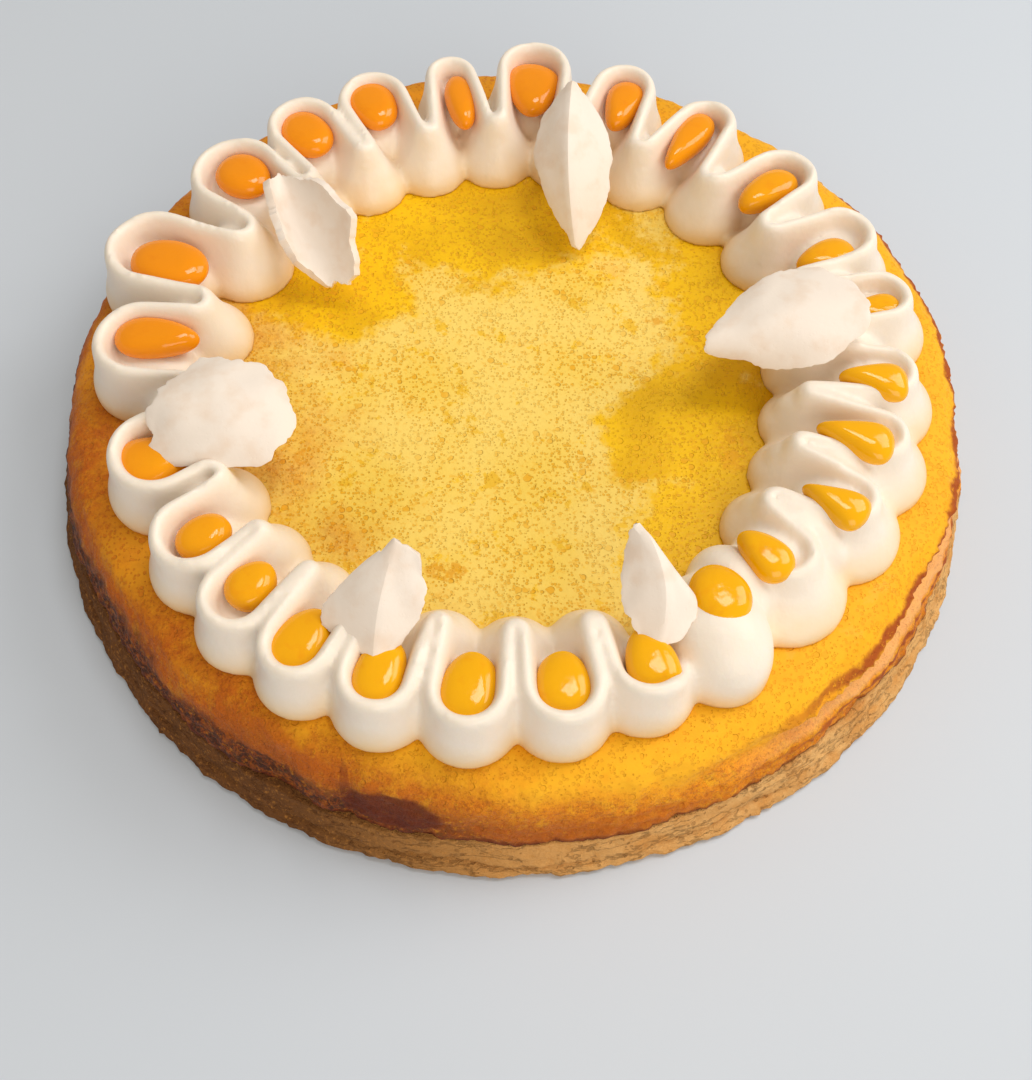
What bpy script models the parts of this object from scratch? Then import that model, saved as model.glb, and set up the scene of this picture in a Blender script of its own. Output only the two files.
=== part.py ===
"""A low round baked cheesecake on a crumb base, with a piped cream ruffle, drops of fruit curd and meringue shards.

Metres, +Z up. The origin is the middle of the underside, and -Y is the side that faces the viewer.
"""

import math

import bmesh
import bpy
import numpy as np
from mathutils import Euler, Matrix, Vector, noise

# Driving sizes, in metres.
FOOT_RADIUS = 0.115
BASE_HEIGHT = 0.013
CAKE_HEIGHT = 0.030
BASE_SETBACK = 0.0042
GAP = 0.0003
SIDE_STEPS = 112

# The side of the baked filling, as (setback from the foot's radius, height), foot of the filling first.
FILLING_SIDE = (
    (0.0050, BASE_HEIGHT + GAP),
    (0.0059, 0.0175),
    (0.0071, 0.0215),
    (0.0087, 0.0252),
    (0.0110, 0.0281),
    (0.0152, 0.0296),
    (0.0200, CAKE_HEIGHT),
)
BOWL_RADIUS = 0.050
BOWL_DEPTH = 0.0009

# The cream ruffle: one ribbon piped in loops round a ring that sits a little towards the front.
RUFFLE_CENTRE = Vector((0.0, -0.005))
RIBBON_HEIGHT = 0.0160
RIBBON_FOOT_HALF = 0.0050
RIBBON_STEP = 0.0014
LOOP_LEAN = math.radians(8)
OUTER_RING = 0.0845
INNER_RING = 0.0730
INNER_ROUNDNESS = 0.21
RUFFLE_FOOT = CAKE_HEIGHT + GAP

# Each outward loop: its bearing round the ring in degrees, how far its foot reaches from the ring's centre, the width
# of its outer slope, its roundness as a share of the room it has, and the radius of the inward bend after it.
LOOPS = (
    (317, 0.0945, 0.0110, 0.24, 0.0655), (331, 0.0965, 0.0090, 0.25, 0.0650), (343.5, 0.0980, 0.0090, 0.26, 0.0645),
    (355.5, 0.0988, 0.0085, 0.28, 0.0655), (10, 0.1012, 0.0078, 0.29, 0.0680), (23.5, 0.1010, 0.0075, 0.30, 0.0690),
    (39, 0.1000, 0.0065, 0.27, 0.0690), (56, 0.1000, 0.0060, 0.25, 0.0690), (71.5, 0.1010, 0.0046, 0.28, 0.0690),
    (87, 0.1040, 0.0046, 0.36, 0.0690), (101, 0.1000, 0.0046, 0.24, 0.0690), (115, 0.1000, 0.0046, 0.36, 0.0690),
    (128, 0.1000, 0.0046, 0.36, 0.0690), (143, 0.1010, 0.0046, 0.36, 0.0690), (163, 0.1040, 0.0046, 0.33, 0.0690),
    (181, 0.0980, 0.0046, 0.29, 0.0690), (202.5, 0.0955, 0.0046, 0.30, 0.0690), (218.5, 0.0950, 0.0046, 0.33, 0.0690),
    (230.5, 0.0965, 0.0046, 0.36, 0.0690), (241.5, 0.0972, 0.0044, 0.36, 0.0690), (253, 0.0970, 0.0044, 0.36, 0.0690),
    (265, 0.0965, 0.0044, 0.36, 0.0690), (277.5, 0.0955, 0.0044, 0.36, 0.0690), (289.5, 0.0942, 0.0044, 0.36, 0.0690),
)
START_TURN = math.radians(-140)
END_TURN = math.radians(105)

# The cream that fills the inward bends and the wide outer slopes, as heights over the ruffle's foot.
BEND_FILL = 0.0120
SOLID_BEND_FILL = 0.0146
SLOPE_FILL = 0.0125

# The mound where the piping ends: its bearing, distance from the ring's centre and half sizes.
TAIL_BEARING = 302
TAIL_DISTANCE = 0.0805
TAIL_HALF = Vector((0.0142, 0.0108, 0.0162))
TAIL_SIDE = (309, 0.074, Vector((0.0105, 0.0085, 0.0140)))

# The floor of the loops' pockets, as a band of cream round the ring.
POCKET_INNER_RADIUS = 0.073
POCKET_OUTER_RADIUS = 0.089
POCKET_FLOOR = 0.0398

# How finely the ruffle is fused and simplified.
FUSE_STEP = 0.0011
FUSE_SMOOTHING = 4
RUFFLE_SHARE = 0.032

# The curd drops: bearing round the ring, distance from its centre, half sizes along and across the bearing, and the
# height of the top.
DROPS = (
    (8.5, 0.086, 0.0066, 0.0048, 0.0450), (21, 0.081, 0.0076, 0.0054, 0.0450), (39, 0.081, 0.0090, 0.0052, 0.0450),
    (57, 0.082, 0.0105, 0.0048, 0.0450), (71, 0.086, 0.0086, 0.0053, 0.0450), (87, 0.087, 0.0094, 0.0076, 0.0450),
    (100, 0.083, 0.0094, 0.0041, 0.0450), (115, 0.088, 0.0080, 0.0065, 0.0450), (128, 0.087, 0.0078, 0.0067, 0.0450),
    (142, 0.086, 0.0070, 0.0067, 0.0450), (164, 0.085, 0.0098, 0.0074, 0.0450), (179, 0.081, 0.0098, 0.0058, 0.0450),
    (203, 0.0828, 0.0084, 0.0070, 0.0450), (219, 0.081, 0.0062, 0.0051, 0.0450), (230, 0.081, 0.0058, 0.0051, 0.0450),
    (241.5, 0.0850, 0.0080, 0.0062, 0.0450), (253, 0.0848, 0.0080, 0.0056, 0.0450),
    (265, 0.0845, 0.0084, 0.0062, 0.0450), (277.5, 0.0838, 0.0074, 0.0058, 0.0450),
    (290, 0.0828, 0.0072, 0.0055, 0.0450), (303.5, 0.0765, 0.0068, 0.0058, 0.0466),
    (314, 0.0755, 0.0066, 0.0050, 0.0456), (328.5, 0.0800, 0.0074, 0.0048, 0.0456),
    (341.5, 0.0790, 0.0086, 0.0052, 0.0458), (353.5, 0.0815, 0.0078, 0.0050, 0.0458),
)
DROP_OPENING = 0.0030
DROP_DEPTH = 0.0064
DROP_FULLNESS = 0.6
DROP_SEGMENTS = 8
DROP_RINGS = 6
DROP_TAPER = 0.22

# Meringue shards, in millimetres: one edge, the spine and the other edge, each by its two ends and its middle, then
# how sharply the shard folds along its spine from 0 to 1.
SHARDS = (
    ("meringue_back", ((8, 66, 48), (6, 52, 45), (12, 39, 36)), ((14, 68, 56), (13, 47, 51), (15.5, 35, 34)),
     ((18, 68, 50), (24, 54, 44), (20, 39, 34)), 0.9),
    ("meringue_left_back", ((-61, 41, 50), (-57, 28, 48), (-53, 19, 42)),
     ((-57, 44, 46), (-51, 31, 42), (-44, 18, 36)), ((-51, 41, 52), (-39, 28, 50), (-36, 16, 39)), 0.0),
    ("meringue_left", ((-78, -29, 47), (-75, -37, 44), (-70, -39, 43)),
     ((-75, -24, 49), (-62, -30, 51), (-52, -38, 45)), ((-69, -14, 48), (-54, -18, 49), (-46, -28, 46)), 0.0),
    ("meringue_front", ((-30, -67, 50), (-36, -72, 46), (-31, -79, 43)),
     ((-21, -65, 59), (-25, -76, 53), (-26, -84, 43)), ((-19, -67, 55), (-17, -75, 48), (-21, -80, 43)), 0.9),
    ("meringue_front_right", ((23, -63, 54), (23, -72, 47), (26, -78, 43)),
     ((24, -61, 59), (30, -70, 53), (29.5, -81, 42)), ((28, -66, 54), (39, -71, 46), (33, -79, 43)), 0.9),
    ("meringue_right", ((42, -7, 44), (58, -10, 44), (73, -12, 45)),
     ((45, -4, 47), (60, -2, 51), (80, -1, 50)), ((52, 8, 46), (66, 14, 48), (79, 11, 48)), 0.0),
)
MILLIMETRE = 0.001
SHARD_ROUNDNESS = 0.16
SHARD_THICKNESS = 0.0022
SHARD_CELLS = (8, 6)


def clear_scene():
    """Removes whatever the file opens with."""
    for thing in list(bpy.data.objects):
        bpy.data.objects.remove(thing)


def new_collection(name):
    """A collection linked to the scene."""
    made = bpy.data.collections.new(name)
    bpy.context.scene.collection.children.link(made)
    return made


def new_material(name, colour, roughness):
    """A plain food material."""
    made = bpy.data.materials.new(name)
    made.use_nodes = True
    shader = made.node_tree.nodes["Principled BSDF"]
    shader.inputs["Base Color"].default_value = (*colour, 1.0)
    shader.inputs["Roughness"].default_value = roughness
    shader.inputs["Metallic"].default_value = 0.0
    return made


def add_object(name, data, collection, material=None):
    """An object with this data, in the collection."""
    made = bpy.data.objects.new(name, data)
    collection.objects.link(made)
    if material is not None:
        made.data.materials.append(material)
    return made


def polar(bearing, distance):
    """The point on the level at this bearing in degrees and distance from the middle."""
    turn = math.radians(bearing)
    return Vector((distance * math.cos(turn), distance * math.sin(turn)))


def evaluated_copy(source, name, collection, material=None):
    """The source's shape with its modifiers applied, welded, as a new object; the source is removed."""
    bpy.context.view_layer.update()
    graph = bpy.context.evaluated_depsgraph_get()
    mesh = bpy.data.meshes.new_from_object(source.evaluated_get(graph))
    placed = source.matrix_world.copy()
    bpy.data.objects.remove(source)
    shape = bmesh.new()
    shape.from_mesh(mesh)
    bmesh.ops.remove_doubles(shape, verts=shape.verts, dist=0.000001)
    bmesh.ops.triangulate(shape, faces=shape.faces)
    shape.to_mesh(mesh)
    shape.free()
    mesh.materials.clear()
    made = add_object(name, mesh, collection, material)
    made.matrix_world = placed
    return made


def turned(name, outline, collection, material):
    """A solid turned about Z from an outline that runs down its outer side, from the axis to the axis."""
    mesh = bpy.data.meshes.new(name + "_outline")
    points = [(radius, 0.0, height) for radius, height in outline]
    mesh.from_pydata(points, [(i, i + 1) for i in range(len(points) - 1)], [])
    source = add_object(name + "_outline", mesh, collection)
    screw = source.modifiers.new("Screw", "SCREW")
    screw.steps = SIDE_STEPS
    screw.render_steps = SIDE_STEPS
    screw.use_merge_vertices = True
    screw.merge_threshold = 0.0001
    return evaluated_copy(source, name, collection, material)


def crumble(obj, reach, grain, lowest_radius):
    """Moves the side in and out unevenly, and leaves the level faces inside lowest_radius as they are."""
    for vertex in obj.data.vertices:
        radius = math.hypot(vertex.co.x, vertex.co.y)
        if radius < lowest_radius:
            continue
        amount = noise.noise(Vector((vertex.co.x, vertex.co.y, vertex.co.z)) / grain) * reach
        vertex.co.x *= 1 + amount / radius
        vertex.co.y *= 1 + amount / radius


def make_base(collection):
    """The pressed crumb base, which widens slightly towards the board."""
    top = BASE_HEIGHT
    outline = (
        (0.0, top),
        (FOOT_RADIUS - BASE_SETBACK, top),
        (FOOT_RADIUS - BASE_SETBACK * 0.55, top * 0.55),
        (FOOT_RADIUS - 0.0002, top * 0.12),
        (FOOT_RADIUS - 0.0010, 0.0),
        (0.0, 0.0),
    )
    base = turned("crumb_base", outline, collection, new_material("crumb", (0.50, 0.27, 0.10), 0.85))
    crumble(base, 0.0011, 0.0085, FOOT_RADIUS * 0.9)
    base.data.shade_smooth()
    return base


def make_filling(collection):
    """The baked filling, with rounded shoulders, a lumpy rim and a top that is very slightly sunk in the middle."""
    outline = [(0.0, CAKE_HEIGHT - BOWL_DEPTH), (BOWL_RADIUS * 0.5, CAKE_HEIGHT - BOWL_DEPTH * 0.7)]
    outline.append((BOWL_RADIUS, CAKE_HEIGHT))
    outline += [(FOOT_RADIUS - setback, height) for setback, height in reversed(FILLING_SIDE)]
    outline.append((0.0, BASE_HEIGHT + GAP))
    material = new_material("baked_filling", (0.80, 0.45, 0.05), 0.55)
    filling = turned("baked_filling", outline, collection, material)
    crumble(filling, 0.0014, 0.016, FOOT_RADIUS * 0.9)
    filling.data.shade_smooth()
    return filling


def loop_gaps():
    """The turn from each loop to the next, in degrees."""
    return [(after[0] - before[0]) % 360 for before, after in zip(LOOPS, LOOPS[1:])]


def outer_bends():
    """The round outer end of each loop, as (middle, radius, bearing)."""
    gaps = loop_gaps()
    bends = []
    for i, (bearing, reach, slope, roundness, _) in enumerate(LOOPS):
        near = gaps[max(0, i - 1):i + 1]
        radius = roundness * math.radians(sum(near) / len(near)) * OUTER_RING
        bends.append((RUFFLE_CENTRE + polar(bearing, reach - slope - radius), radius, bearing))
    return bends


def inner_bends():
    """The round inner end between each loop and the next, as (middle, radius, bearing)."""
    bends = []
    for loop, gap in zip(LOOPS, loop_gaps()):
        radius = INNER_ROUNDNESS * math.radians(gap) * INNER_RING
        bearing = loop[0] + gap / 2
        bends.append((RUFFLE_CENTRE + polar(bearing, loop[4] + radius), radius, bearing))
    return bends


def crossing(first, last, side):
    """The angles at which a straight run leaves one bend and joins the next, which curves the other way."""
    away = last[0] - first[0]
    lean = math.acos(min(1.0, (first[1] + last[1]) / away.length))
    angle = math.atan2(away.y, away.x) - side * lean
    return angle, angle + math.pi


def walk(bend, start, end, centre, side):
    """Points round a bend from one angle to another past a third, with larger angles for side 1."""
    first = centre - ((centre - start) * side % (2 * math.pi)) * side
    last = centre + ((end - centre) * side % (2 * math.pi)) * side
    count = max(3, math.ceil(abs(last - first) * bend[1] / RIBBON_STEP))
    angles = [first + (last - first) * k / count for k in range(count + 1)]
    return [bend[0] + Vector((math.cos(angle), math.sin(angle))) * bend[1] for angle in angles]


def loop_path():
    """The ribbon's centre line, as (point on the level, how far out it is from 0 to 1)."""
    outer, inner = outer_bends(), inner_bends()
    line = []
    start = math.radians(outer[0][2]) + START_TURN
    for i, bend in enumerate(outer):
        middle = math.radians(bend[2])
        if i == len(outer) - 1:
            line += walk(bend, start, middle + END_TURN, middle, 1)
            break
        leave, join = crossing(bend, inner[i], 1)
        line += walk(bend, start, leave, middle, 1)
        depart, start = crossing(inner[i], outer[i + 1], -1)
        line += walk(inner[i], join, depart, math.radians(inner[i][2]) + math.pi, -1)
    path = []
    for place in line:
        if path and (place - path[-1][0]).length < RIBBON_STEP * 0.4:
            continue
        out = ((place - RUFFLE_CENTRE).length - INNER_RING) / (OUTER_RING - INNER_RING)
        path.append((place, min(1.0, max(0.0, out))))
    return path


def ribbon_section():
    """Half the ribbon's cross-section, as (half width, height) from foot to crest: a thick foot and a thin crest."""
    foot, tall = RIBBON_FOOT_HALF, RIBBON_HEIGHT
    shares = ((1.0, -0.09), (1.0, 0.08), (0.86, 0.24), (0.60, 0.45), (0.44, 0.68), (0.36, 0.88), (0.20, 0.98))
    return [(foot * wide, tall * high) for wide, high in shares]


def make_ribbon_sweep(collection):
    """The ribbon swept along its loops: a curve bevelled by the section, with the section upright throughout."""
    half = ribbon_section()
    outline = [(-wide, high) for wide, high in half] + [(0.0, RIBBON_HEIGHT)] + half[::-1]
    section_data = bpy.data.curves.new("ribbon_section", "CURVE")
    section_data.dimensions = "2D"
    section_spline = section_data.splines.new("POLY")
    section_spline.points.add(len(outline) - 1)
    for point, (wide, high) in zip(section_spline.points, outline):
        point.co = (wide, high, 0.0, 1.0)
    section_spline.use_cyclic_u = True
    section = add_object("ribbon_section", section_data, collection)

    path = loop_path()
    data = bpy.data.curves.new("ribbon", "CURVE")
    data.dimensions = "3D"
    data.twist_mode = "Z_UP"
    data.bevel_mode = "OBJECT"
    data.bevel_object = section
    spline = data.splines.new("POLY")
    spline.points.add(len(path) - 1)
    for point, (place, out) in zip(spline.points, path):
        point.co = (place.x, place.y, RUFFLE_FOOT, 1.0)
        point.tilt = LOOP_LEAN * (1 - out)
    data.use_fill_caps = True
    source = add_object("ribbon_sweep", data, collection)
    swept = evaluated_copy(source, "ribbon_mesh", collection)
    bpy.data.objects.remove(section)
    return swept


def lump(bearing, distance, half, collection):
    """A rounded lump of cream at this bearing round the ruffle, rising from the cake's top."""
    place = RUFFLE_CENTRE + polar(bearing, distance)
    made = ellipsoid("lump", (0, 0, 0), (1, 1, 1), 0, collection, 24, 12)
    for vertex in made.data.vertices:
        vertex.co.z = math.copysign(abs(vertex.co.z) ** 0.7, vertex.co.z)
    stretched = Matrix.Diagonal((*half, 1.0))
    turn = Matrix.Rotation(math.radians(bearing), 4, "Z")
    made.data.transform(Matrix.Translation((place.x, place.y, RUFFLE_FOOT)) @ turn @ stretched)
    return made


def make_lumps(collection):
    """The mound where the piping ends, the cream in the inward bends and the wide outer slopes."""
    lumps = [lump(TAIL_BEARING, TAIL_DISTANCE, TAIL_HALF, collection), lump(*TAIL_SIDE, collection)]
    for loop, bend in zip(LOOPS, inner_bends()):
        solid = min(1.0, max(0.0, (0.0690 - loop[4]) / 0.0035))
        height = BEND_FILL + (SOLID_BEND_FILL - BEND_FILL) * solid
        half = Vector((0.0080 + 0.0055 * solid, bend[1] + 0.0008 + 0.0018 * solid, height))
        middle = (bend[0] - RUFFLE_CENTRE).length + 0.0020 + 0.0040 * solid
        lumps.append(lump(bend[2], middle, half, collection))
    for (bearing, reach, slope, _, _), bend in zip(LOOPS, outer_bends()):
        if slope > RIBBON_FOOT_HALF:
            half = Vector((slope + bend[1], bend[1] + 0.0045, SLOPE_FILL))
            lumps.append(lump(bearing, reach - slope - bend[1], half, collection))
    return lumps


def joined(name, sources, collection, material=None):
    """One object holding the meshes of several, which are removed."""
    shape = bmesh.new()
    for source in sources:
        part = source.data.copy()
        part.transform(source.matrix_world)
        shape.from_mesh(part)
        bpy.data.meshes.remove(part)
        bpy.data.objects.remove(source)
    mesh = bpy.data.meshes.new(name)
    shape.to_mesh(mesh)
    shape.free()
    return add_object(name, mesh, collection, material)


def ellipsoid(name, place, half, turn, collection, segments, rings):
    """A ball stretched to these half sizes and turned about Z."""
    mesh = bpy.data.meshes.new(name)
    shape = bmesh.new()
    bmesh.ops.create_uvsphere(shape, u_segments=segments, v_segments=rings, radius=1.0)
    bmesh.ops.scale(shape, vec=half, verts=shape.verts)
    bmesh.ops.triangulate(shape, faces=shape.faces)
    bmesh.ops.transform(shape, matrix=Matrix.Translation(place) @ Matrix.Rotation(turn, 4, "Z"), verts=shape.verts)
    shape.to_mesh(mesh)
    shape.free()
    return add_object(name, mesh, collection)


def pocket_floor(collection):
    """The band of cream under the drops."""
    inner, outer = POCKET_INNER_RADIUS, POCKET_OUTER_RADIUS
    low = RUFFLE_FOOT - 0.001
    mesh = bpy.data.meshes.new("pocket_outline")
    points = [(inner, 0.0, POCKET_FLOOR), (outer, 0.0, POCKET_FLOOR), (outer, 0.0, low), (inner, 0.0, low)]
    mesh.from_pydata(points, [(0, 1), (1, 2), (2, 3), (3, 0)], [])
    source = add_object("pocket_outline", mesh, collection)
    source.location = (RUFFLE_CENTRE.x, RUFFLE_CENTRE.y, 0.0)
    screw = source.modifiers.new("Screw", "SCREW")
    screw.steps = SIDE_STEPS
    screw.render_steps = SIDE_STEPS
    screw.use_merge_vertices = True
    screw.merge_threshold = 0.0001
    return evaluated_copy(source, "pocket_floor", collection)


def box(name, low, high, collection):
    """A block between two corners."""
    mesh = bpy.data.meshes.new(name)
    shape = bmesh.new()
    bmesh.ops.create_cube(shape, size=1.0)
    size = Vector(high) - Vector(low)
    bmesh.ops.scale(shape, vec=size, verts=shape.verts)
    bmesh.ops.translate(shape, vec=(Vector(high) + Vector(low)) / 2, verts=shape.verts)
    shape.to_mesh(mesh)
    shape.free()
    return add_object(name, mesh, collection)


def as_cutter(obj):
    """Hides a cutting shape from the picture."""
    obj.hide_render = True
    obj.display_type = "WIRE"
    return obj


def grown(source, name, reach, collection):
    """A copy of a solid with its surface moved out by this much."""
    shape = bmesh.new()
    shape.from_mesh(source.data)
    shape.normal_update()
    moved = {}
    for vertex in shape.verts:
        spread = 1.0
        for face in vertex.link_faces:
            spread = min(spread, max(0.45, vertex.normal.dot(face.normal)))
        moved[vertex] = vertex.co + vertex.normal * reach / spread
    for vertex, place in moved.items():
        vertex.co = place
    mesh = bpy.data.meshes.new(name)
    shape.to_mesh(mesh)
    shape.free()
    made = add_object(name, mesh, collection)
    made.matrix_world = source.matrix_world.copy()
    return as_cutter(made)


def opened_upward(room):
    """Stretches a drop's room so that no cream is left over the drop."""
    middle = sum(vertex.co.z for vertex in room.data.vertices) / len(room.data.vertices)
    for vertex in room.data.vertices:
        if vertex.co.z > middle + 0.0001:
            vertex.co.z += DROP_OPENING
    return room


def keep_largest_body(obj):
    """Removes crumbs that the cuts left loose."""
    shape = bmesh.new()
    shape.from_mesh(obj.data)
    unseen = set(shape.verts)
    bodies = []
    while unseen:
        front = [unseen.pop()]
        body = list(front)
        while front:
            vertex = front.pop()
            for edge in vertex.link_edges:
                other = edge.other_vert(vertex)
                if other in unseen:
                    unseen.remove(other)
                    front.append(other)
                    body.append(other)
        bodies.append(body)
    bodies.sort(key=len, reverse=True)
    for body in bodies[1:]:
        bmesh.ops.delete(shape, geom=body, context="VERTS")
    shape.to_mesh(obj.data)
    shape.free()


def cut(obj, cutters, collection, material, solver="EXACT"):
    """The object with every cutter taken out of it, as a new mesh under the same name."""
    name = obj.name
    obj.name = name + "_uncut"
    for cutter in cutters:
        boolean = obj.modifiers.new(cutter.name, "BOOLEAN")
        boolean.operation = "DIFFERENCE"
        boolean.solver = solver
        boolean.object = cutter
    made = evaluated_copy(obj, name, collection, material)
    keep_largest_body(made)
    return made


def make_drops(collection):
    """The drops of curd, each thicker at the outer end and drawn out towards the middle of the cake."""
    drops = []
    for number, (bearing, distance, along, across, top) in enumerate(DROPS, 1):
        material = new_material(f"curd_{number:02d}", (0.90, 0.35, 0.015), 0.15)
        place = RUFFLE_CENTRE + polar(bearing, distance)
        half = Vector((along, across, DROP_DEPTH / 2))
        middle = (place.x, place.y, top - DROP_DEPTH / 2)
        drop = ellipsoid(f"curd_drop_{number:02d}", (0, 0, 0), half, 0, collection, DROP_SEGMENTS, DROP_RINGS)
        for vertex in drop.data.vertices:
            x, y = vertex.co.x / along, vertex.co.y / across
            level = max(math.hypot(x, y), 0.000001)
            full = level ** DROP_FULLNESS / level if level > 0.001 else 1.0
            vertex.co.x = x * full * along
            vertex.co.y = y * full * across * (1 + DROP_TAPER * x)
        drop.data.transform(Matrix.Translation(middle) @ Matrix.Rotation(math.radians(bearing), 4, "Z"))
        drop.data.materials.append(material)
        drop.data.shade_smooth()
        drops.append(drop)
    return drops


def shard_place(u, v, rows, fold):
    """The point of a shard's sheet at the shares u along and v across, each from -1 to 1."""
    along = (u * (u - 1) / 2, 1 - u * u, u * (u + 1) / 2)
    soft = (v * (v - 1) / 2, 1 - v * v, v * (v + 1) / 2)
    bent = (max(-v, 0.0), 1 - abs(v), max(v, 0.0))
    place = Vector((0.0, 0.0, 0.0))
    for round_share, sharp_share, row in zip(soft, bent, rows):
        for part, point in zip(along, row):
            place += Vector(point) * ((round_share * (1 - fold) + sharp_share * fold) * part * MILLIMETRE)
    return place


def make_shard(name, edge, spine, far_edge, fold, collection):
    """A thin curved piece of broken meringue."""
    mesh = bpy.data.meshes.new(name + "_sheet")
    shape = bmesh.new()
    bmesh.ops.create_grid(shape, x_segments=SHARD_CELLS[0], y_segments=SHARD_CELLS[1], size=1.0)
    seed = Vector(spine[0]) * 0.21
    for vertex in shape.verts:
        u, v = vertex.co.x, vertex.co.y
        rim = max(abs(u), abs(v)) ** 6
        swell = 1 + noise.noise(seed + Vector((u * 2.4, v * 2.0, 0.0))) * 0.11 * rim
        round_u = u * (1 - SHARD_ROUNDNESS * v * v) * swell
        round_v = v * (1 - SHARD_ROUNDNESS * u * u) * swell
        vertex.co = shard_place(round_u, round_v, (edge, spine, far_edge), fold)
    shape.to_mesh(mesh)
    shape.free()
    sheet = add_object(name + "_sheet", mesh, collection)
    thick = sheet.modifiers.new("Solidify", "SOLIDIFY")
    thick.thickness = SHARD_THICKNESS
    thick.offset = 0.0
    made = evaluated_copy(sheet, name, collection, new_material(name, (0.85, 0.76, 0.68), 0.8))
    made.data.shade_smooth()
    return made


def make_shards(collection):
    """The shards of meringue stuck into the ruffle."""
    return [make_shard(*row, collection) for row in SHARDS]


def bounds_meet(one, other):
    """Whether the boxes round two solids overlap."""
    low_one, high_one = corners(one)
    low_other, high_other = corners(other)
    return all(a < d and c < b for a, b, c, d in zip(low_one, high_one, low_other, high_other))


def corners(obj):
    """The lowest and the highest corner of a solid that is placed at the origin."""
    places = np.array([vertex.co[:] for vertex in obj.data.vertices])
    return places.min(axis=0), places.max(axis=0)


def clear_drops(drops, rooms, collection):
    """Takes the shards' room out of the drops they pass through."""
    cleared = []
    for drop in drops:
        near = [room for room in rooms if bounds_meet(drop, room)]
        if near:
            drop = cut(drop, near, collection, drop.data.materials[0])
            drop.data.shade_smooth()
        cleared.append(drop)
    return cleared


def make_ruffle(collection, cutting, drop_rooms, rooms):
    """The cream: ribbon, lumps and pocket floor fused into one body, then cleared for drops and shards."""
    ribbon = make_ribbon_sweep(collection)
    raw = joined("cream_raw", [ribbon, pocket_floor(collection), *make_lumps(collection)], collection)
    fuse = raw.modifiers.new("Remesh", "REMESH")
    fuse.mode = "VOXEL"
    fuse.voxel_size = FUSE_STEP
    soften = raw.modifiers.new("Smooth", "SMOOTH")
    soften.factor = 0.5
    soften.iterations = FUSE_SMOOTHING
    thin = raw.modifiers.new("Decimate", "DECIMATE")
    thin.ratio = RUFFLE_SHARE
    fused = evaluated_copy(raw, "cream_ruffle", collection)
    reach = FOOT_RADIUS * 1.2
    under = as_cutter(box("under_ruffle", (-reach, -reach, 0.0), (reach, reach, RUFFLE_FOOT), cutting))
    cutters = [under, as_cutter(joined("drop_room", drop_rooms, cutting))] + rooms
    cream = new_material("whipped_cream", (0.86, 0.74, 0.58), 0.45)
    ruffle = cut(fused, cutters, collection, cream, "MANIFOLD")
    ruffle.data.shade_smooth()
    return ruffle


def main():
    """Builds the cake."""
    clear_scene()
    cake = new_collection("baked_cheesecake")
    cutting = new_collection("cutting_shapes")
    make_base(cake)
    make_filling(cake)
    curd = make_drops(cake)
    rooms = [grown(shard, shard.name + "_room", GAP * 1.3, cutting) for shard in make_shards(cake)]
    drop_rooms = [opened_upward(grown(drop, drop.name + "_room", GAP * 1.15, cutting)) for drop in curd]
    clear_drops(curd, rooms, cake)
    make_ruffle(cake, cutting, drop_rooms, rooms)
    for thing in cake.objects:
        thing.data.calc_loop_triangles()
        print(thing.name, len(thing.data.loop_triangles))


if __name__ == "__main__":
    main()
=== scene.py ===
"""Dresses a low baked cheesecake with its crumb base, cream ruffle, curd drops and meringue shards.

Metres, +Z up. The origin is the middle of the underside, and -Y is the front. Bearings are in degrees from +X
towards +Y.
"""

import logging
import math
from collections.abc import Callable, Sequence
from dataclasses import dataclass
from enum import Enum

import bmesh
import bpy
import numpy as np
from mathutils import Matrix, Vector, noise


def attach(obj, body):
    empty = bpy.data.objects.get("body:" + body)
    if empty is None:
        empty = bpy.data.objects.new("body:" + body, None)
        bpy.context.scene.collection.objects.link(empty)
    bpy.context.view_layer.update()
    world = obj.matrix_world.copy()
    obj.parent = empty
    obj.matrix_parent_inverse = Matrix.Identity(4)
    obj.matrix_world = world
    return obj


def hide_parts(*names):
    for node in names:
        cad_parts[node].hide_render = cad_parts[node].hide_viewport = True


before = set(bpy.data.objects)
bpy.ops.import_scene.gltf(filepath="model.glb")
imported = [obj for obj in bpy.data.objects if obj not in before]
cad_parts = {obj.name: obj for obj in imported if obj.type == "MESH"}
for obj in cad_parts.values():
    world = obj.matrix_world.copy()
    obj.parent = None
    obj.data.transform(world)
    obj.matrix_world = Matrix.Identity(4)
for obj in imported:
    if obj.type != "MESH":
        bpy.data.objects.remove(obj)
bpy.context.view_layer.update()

LOG = logging.getLogger("cheesecake")
Colour = tuple[float, float, float]
Socket = bpy.types.NodeSocket
Node = bpy.types.Node
Group = bpy.types.NodeTree
Piece = bpy.types.Object
Material = bpy.types.Material

FOOT_RADIUS = 0.115
CAKE_TOP = 0.030
BASE_TOP = 0.0108
RING_CENTRE = Vector((0.0, -0.005))
CREAM_GAP = 0.0003
PORE_EDGE = 0.09
PATCH_EDGE = (0.82, 1.12)
LEAN_SHARE = 0.40
DENT_BEARING = 185
DENT_DEPTH = 0.0013


def srgb(red: int, green: int, blue: int) -> Colour:
    """Turns a display colour of 0 to 255 a channel into the linear colour a shader takes.

    Args:
        red: Red, 0 to 255.
        green: Green, 0 to 255.
        blue: Blue, 0 to 255.

    Returns:
        The linear colour.
    """
    shares = (red / 255, green / 255, blue / 255)
    return tuple(s / 12.92 if s <= 0.04045 else ((s + 0.055) / 1.055) ** 2.4 for s in shares)


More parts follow.
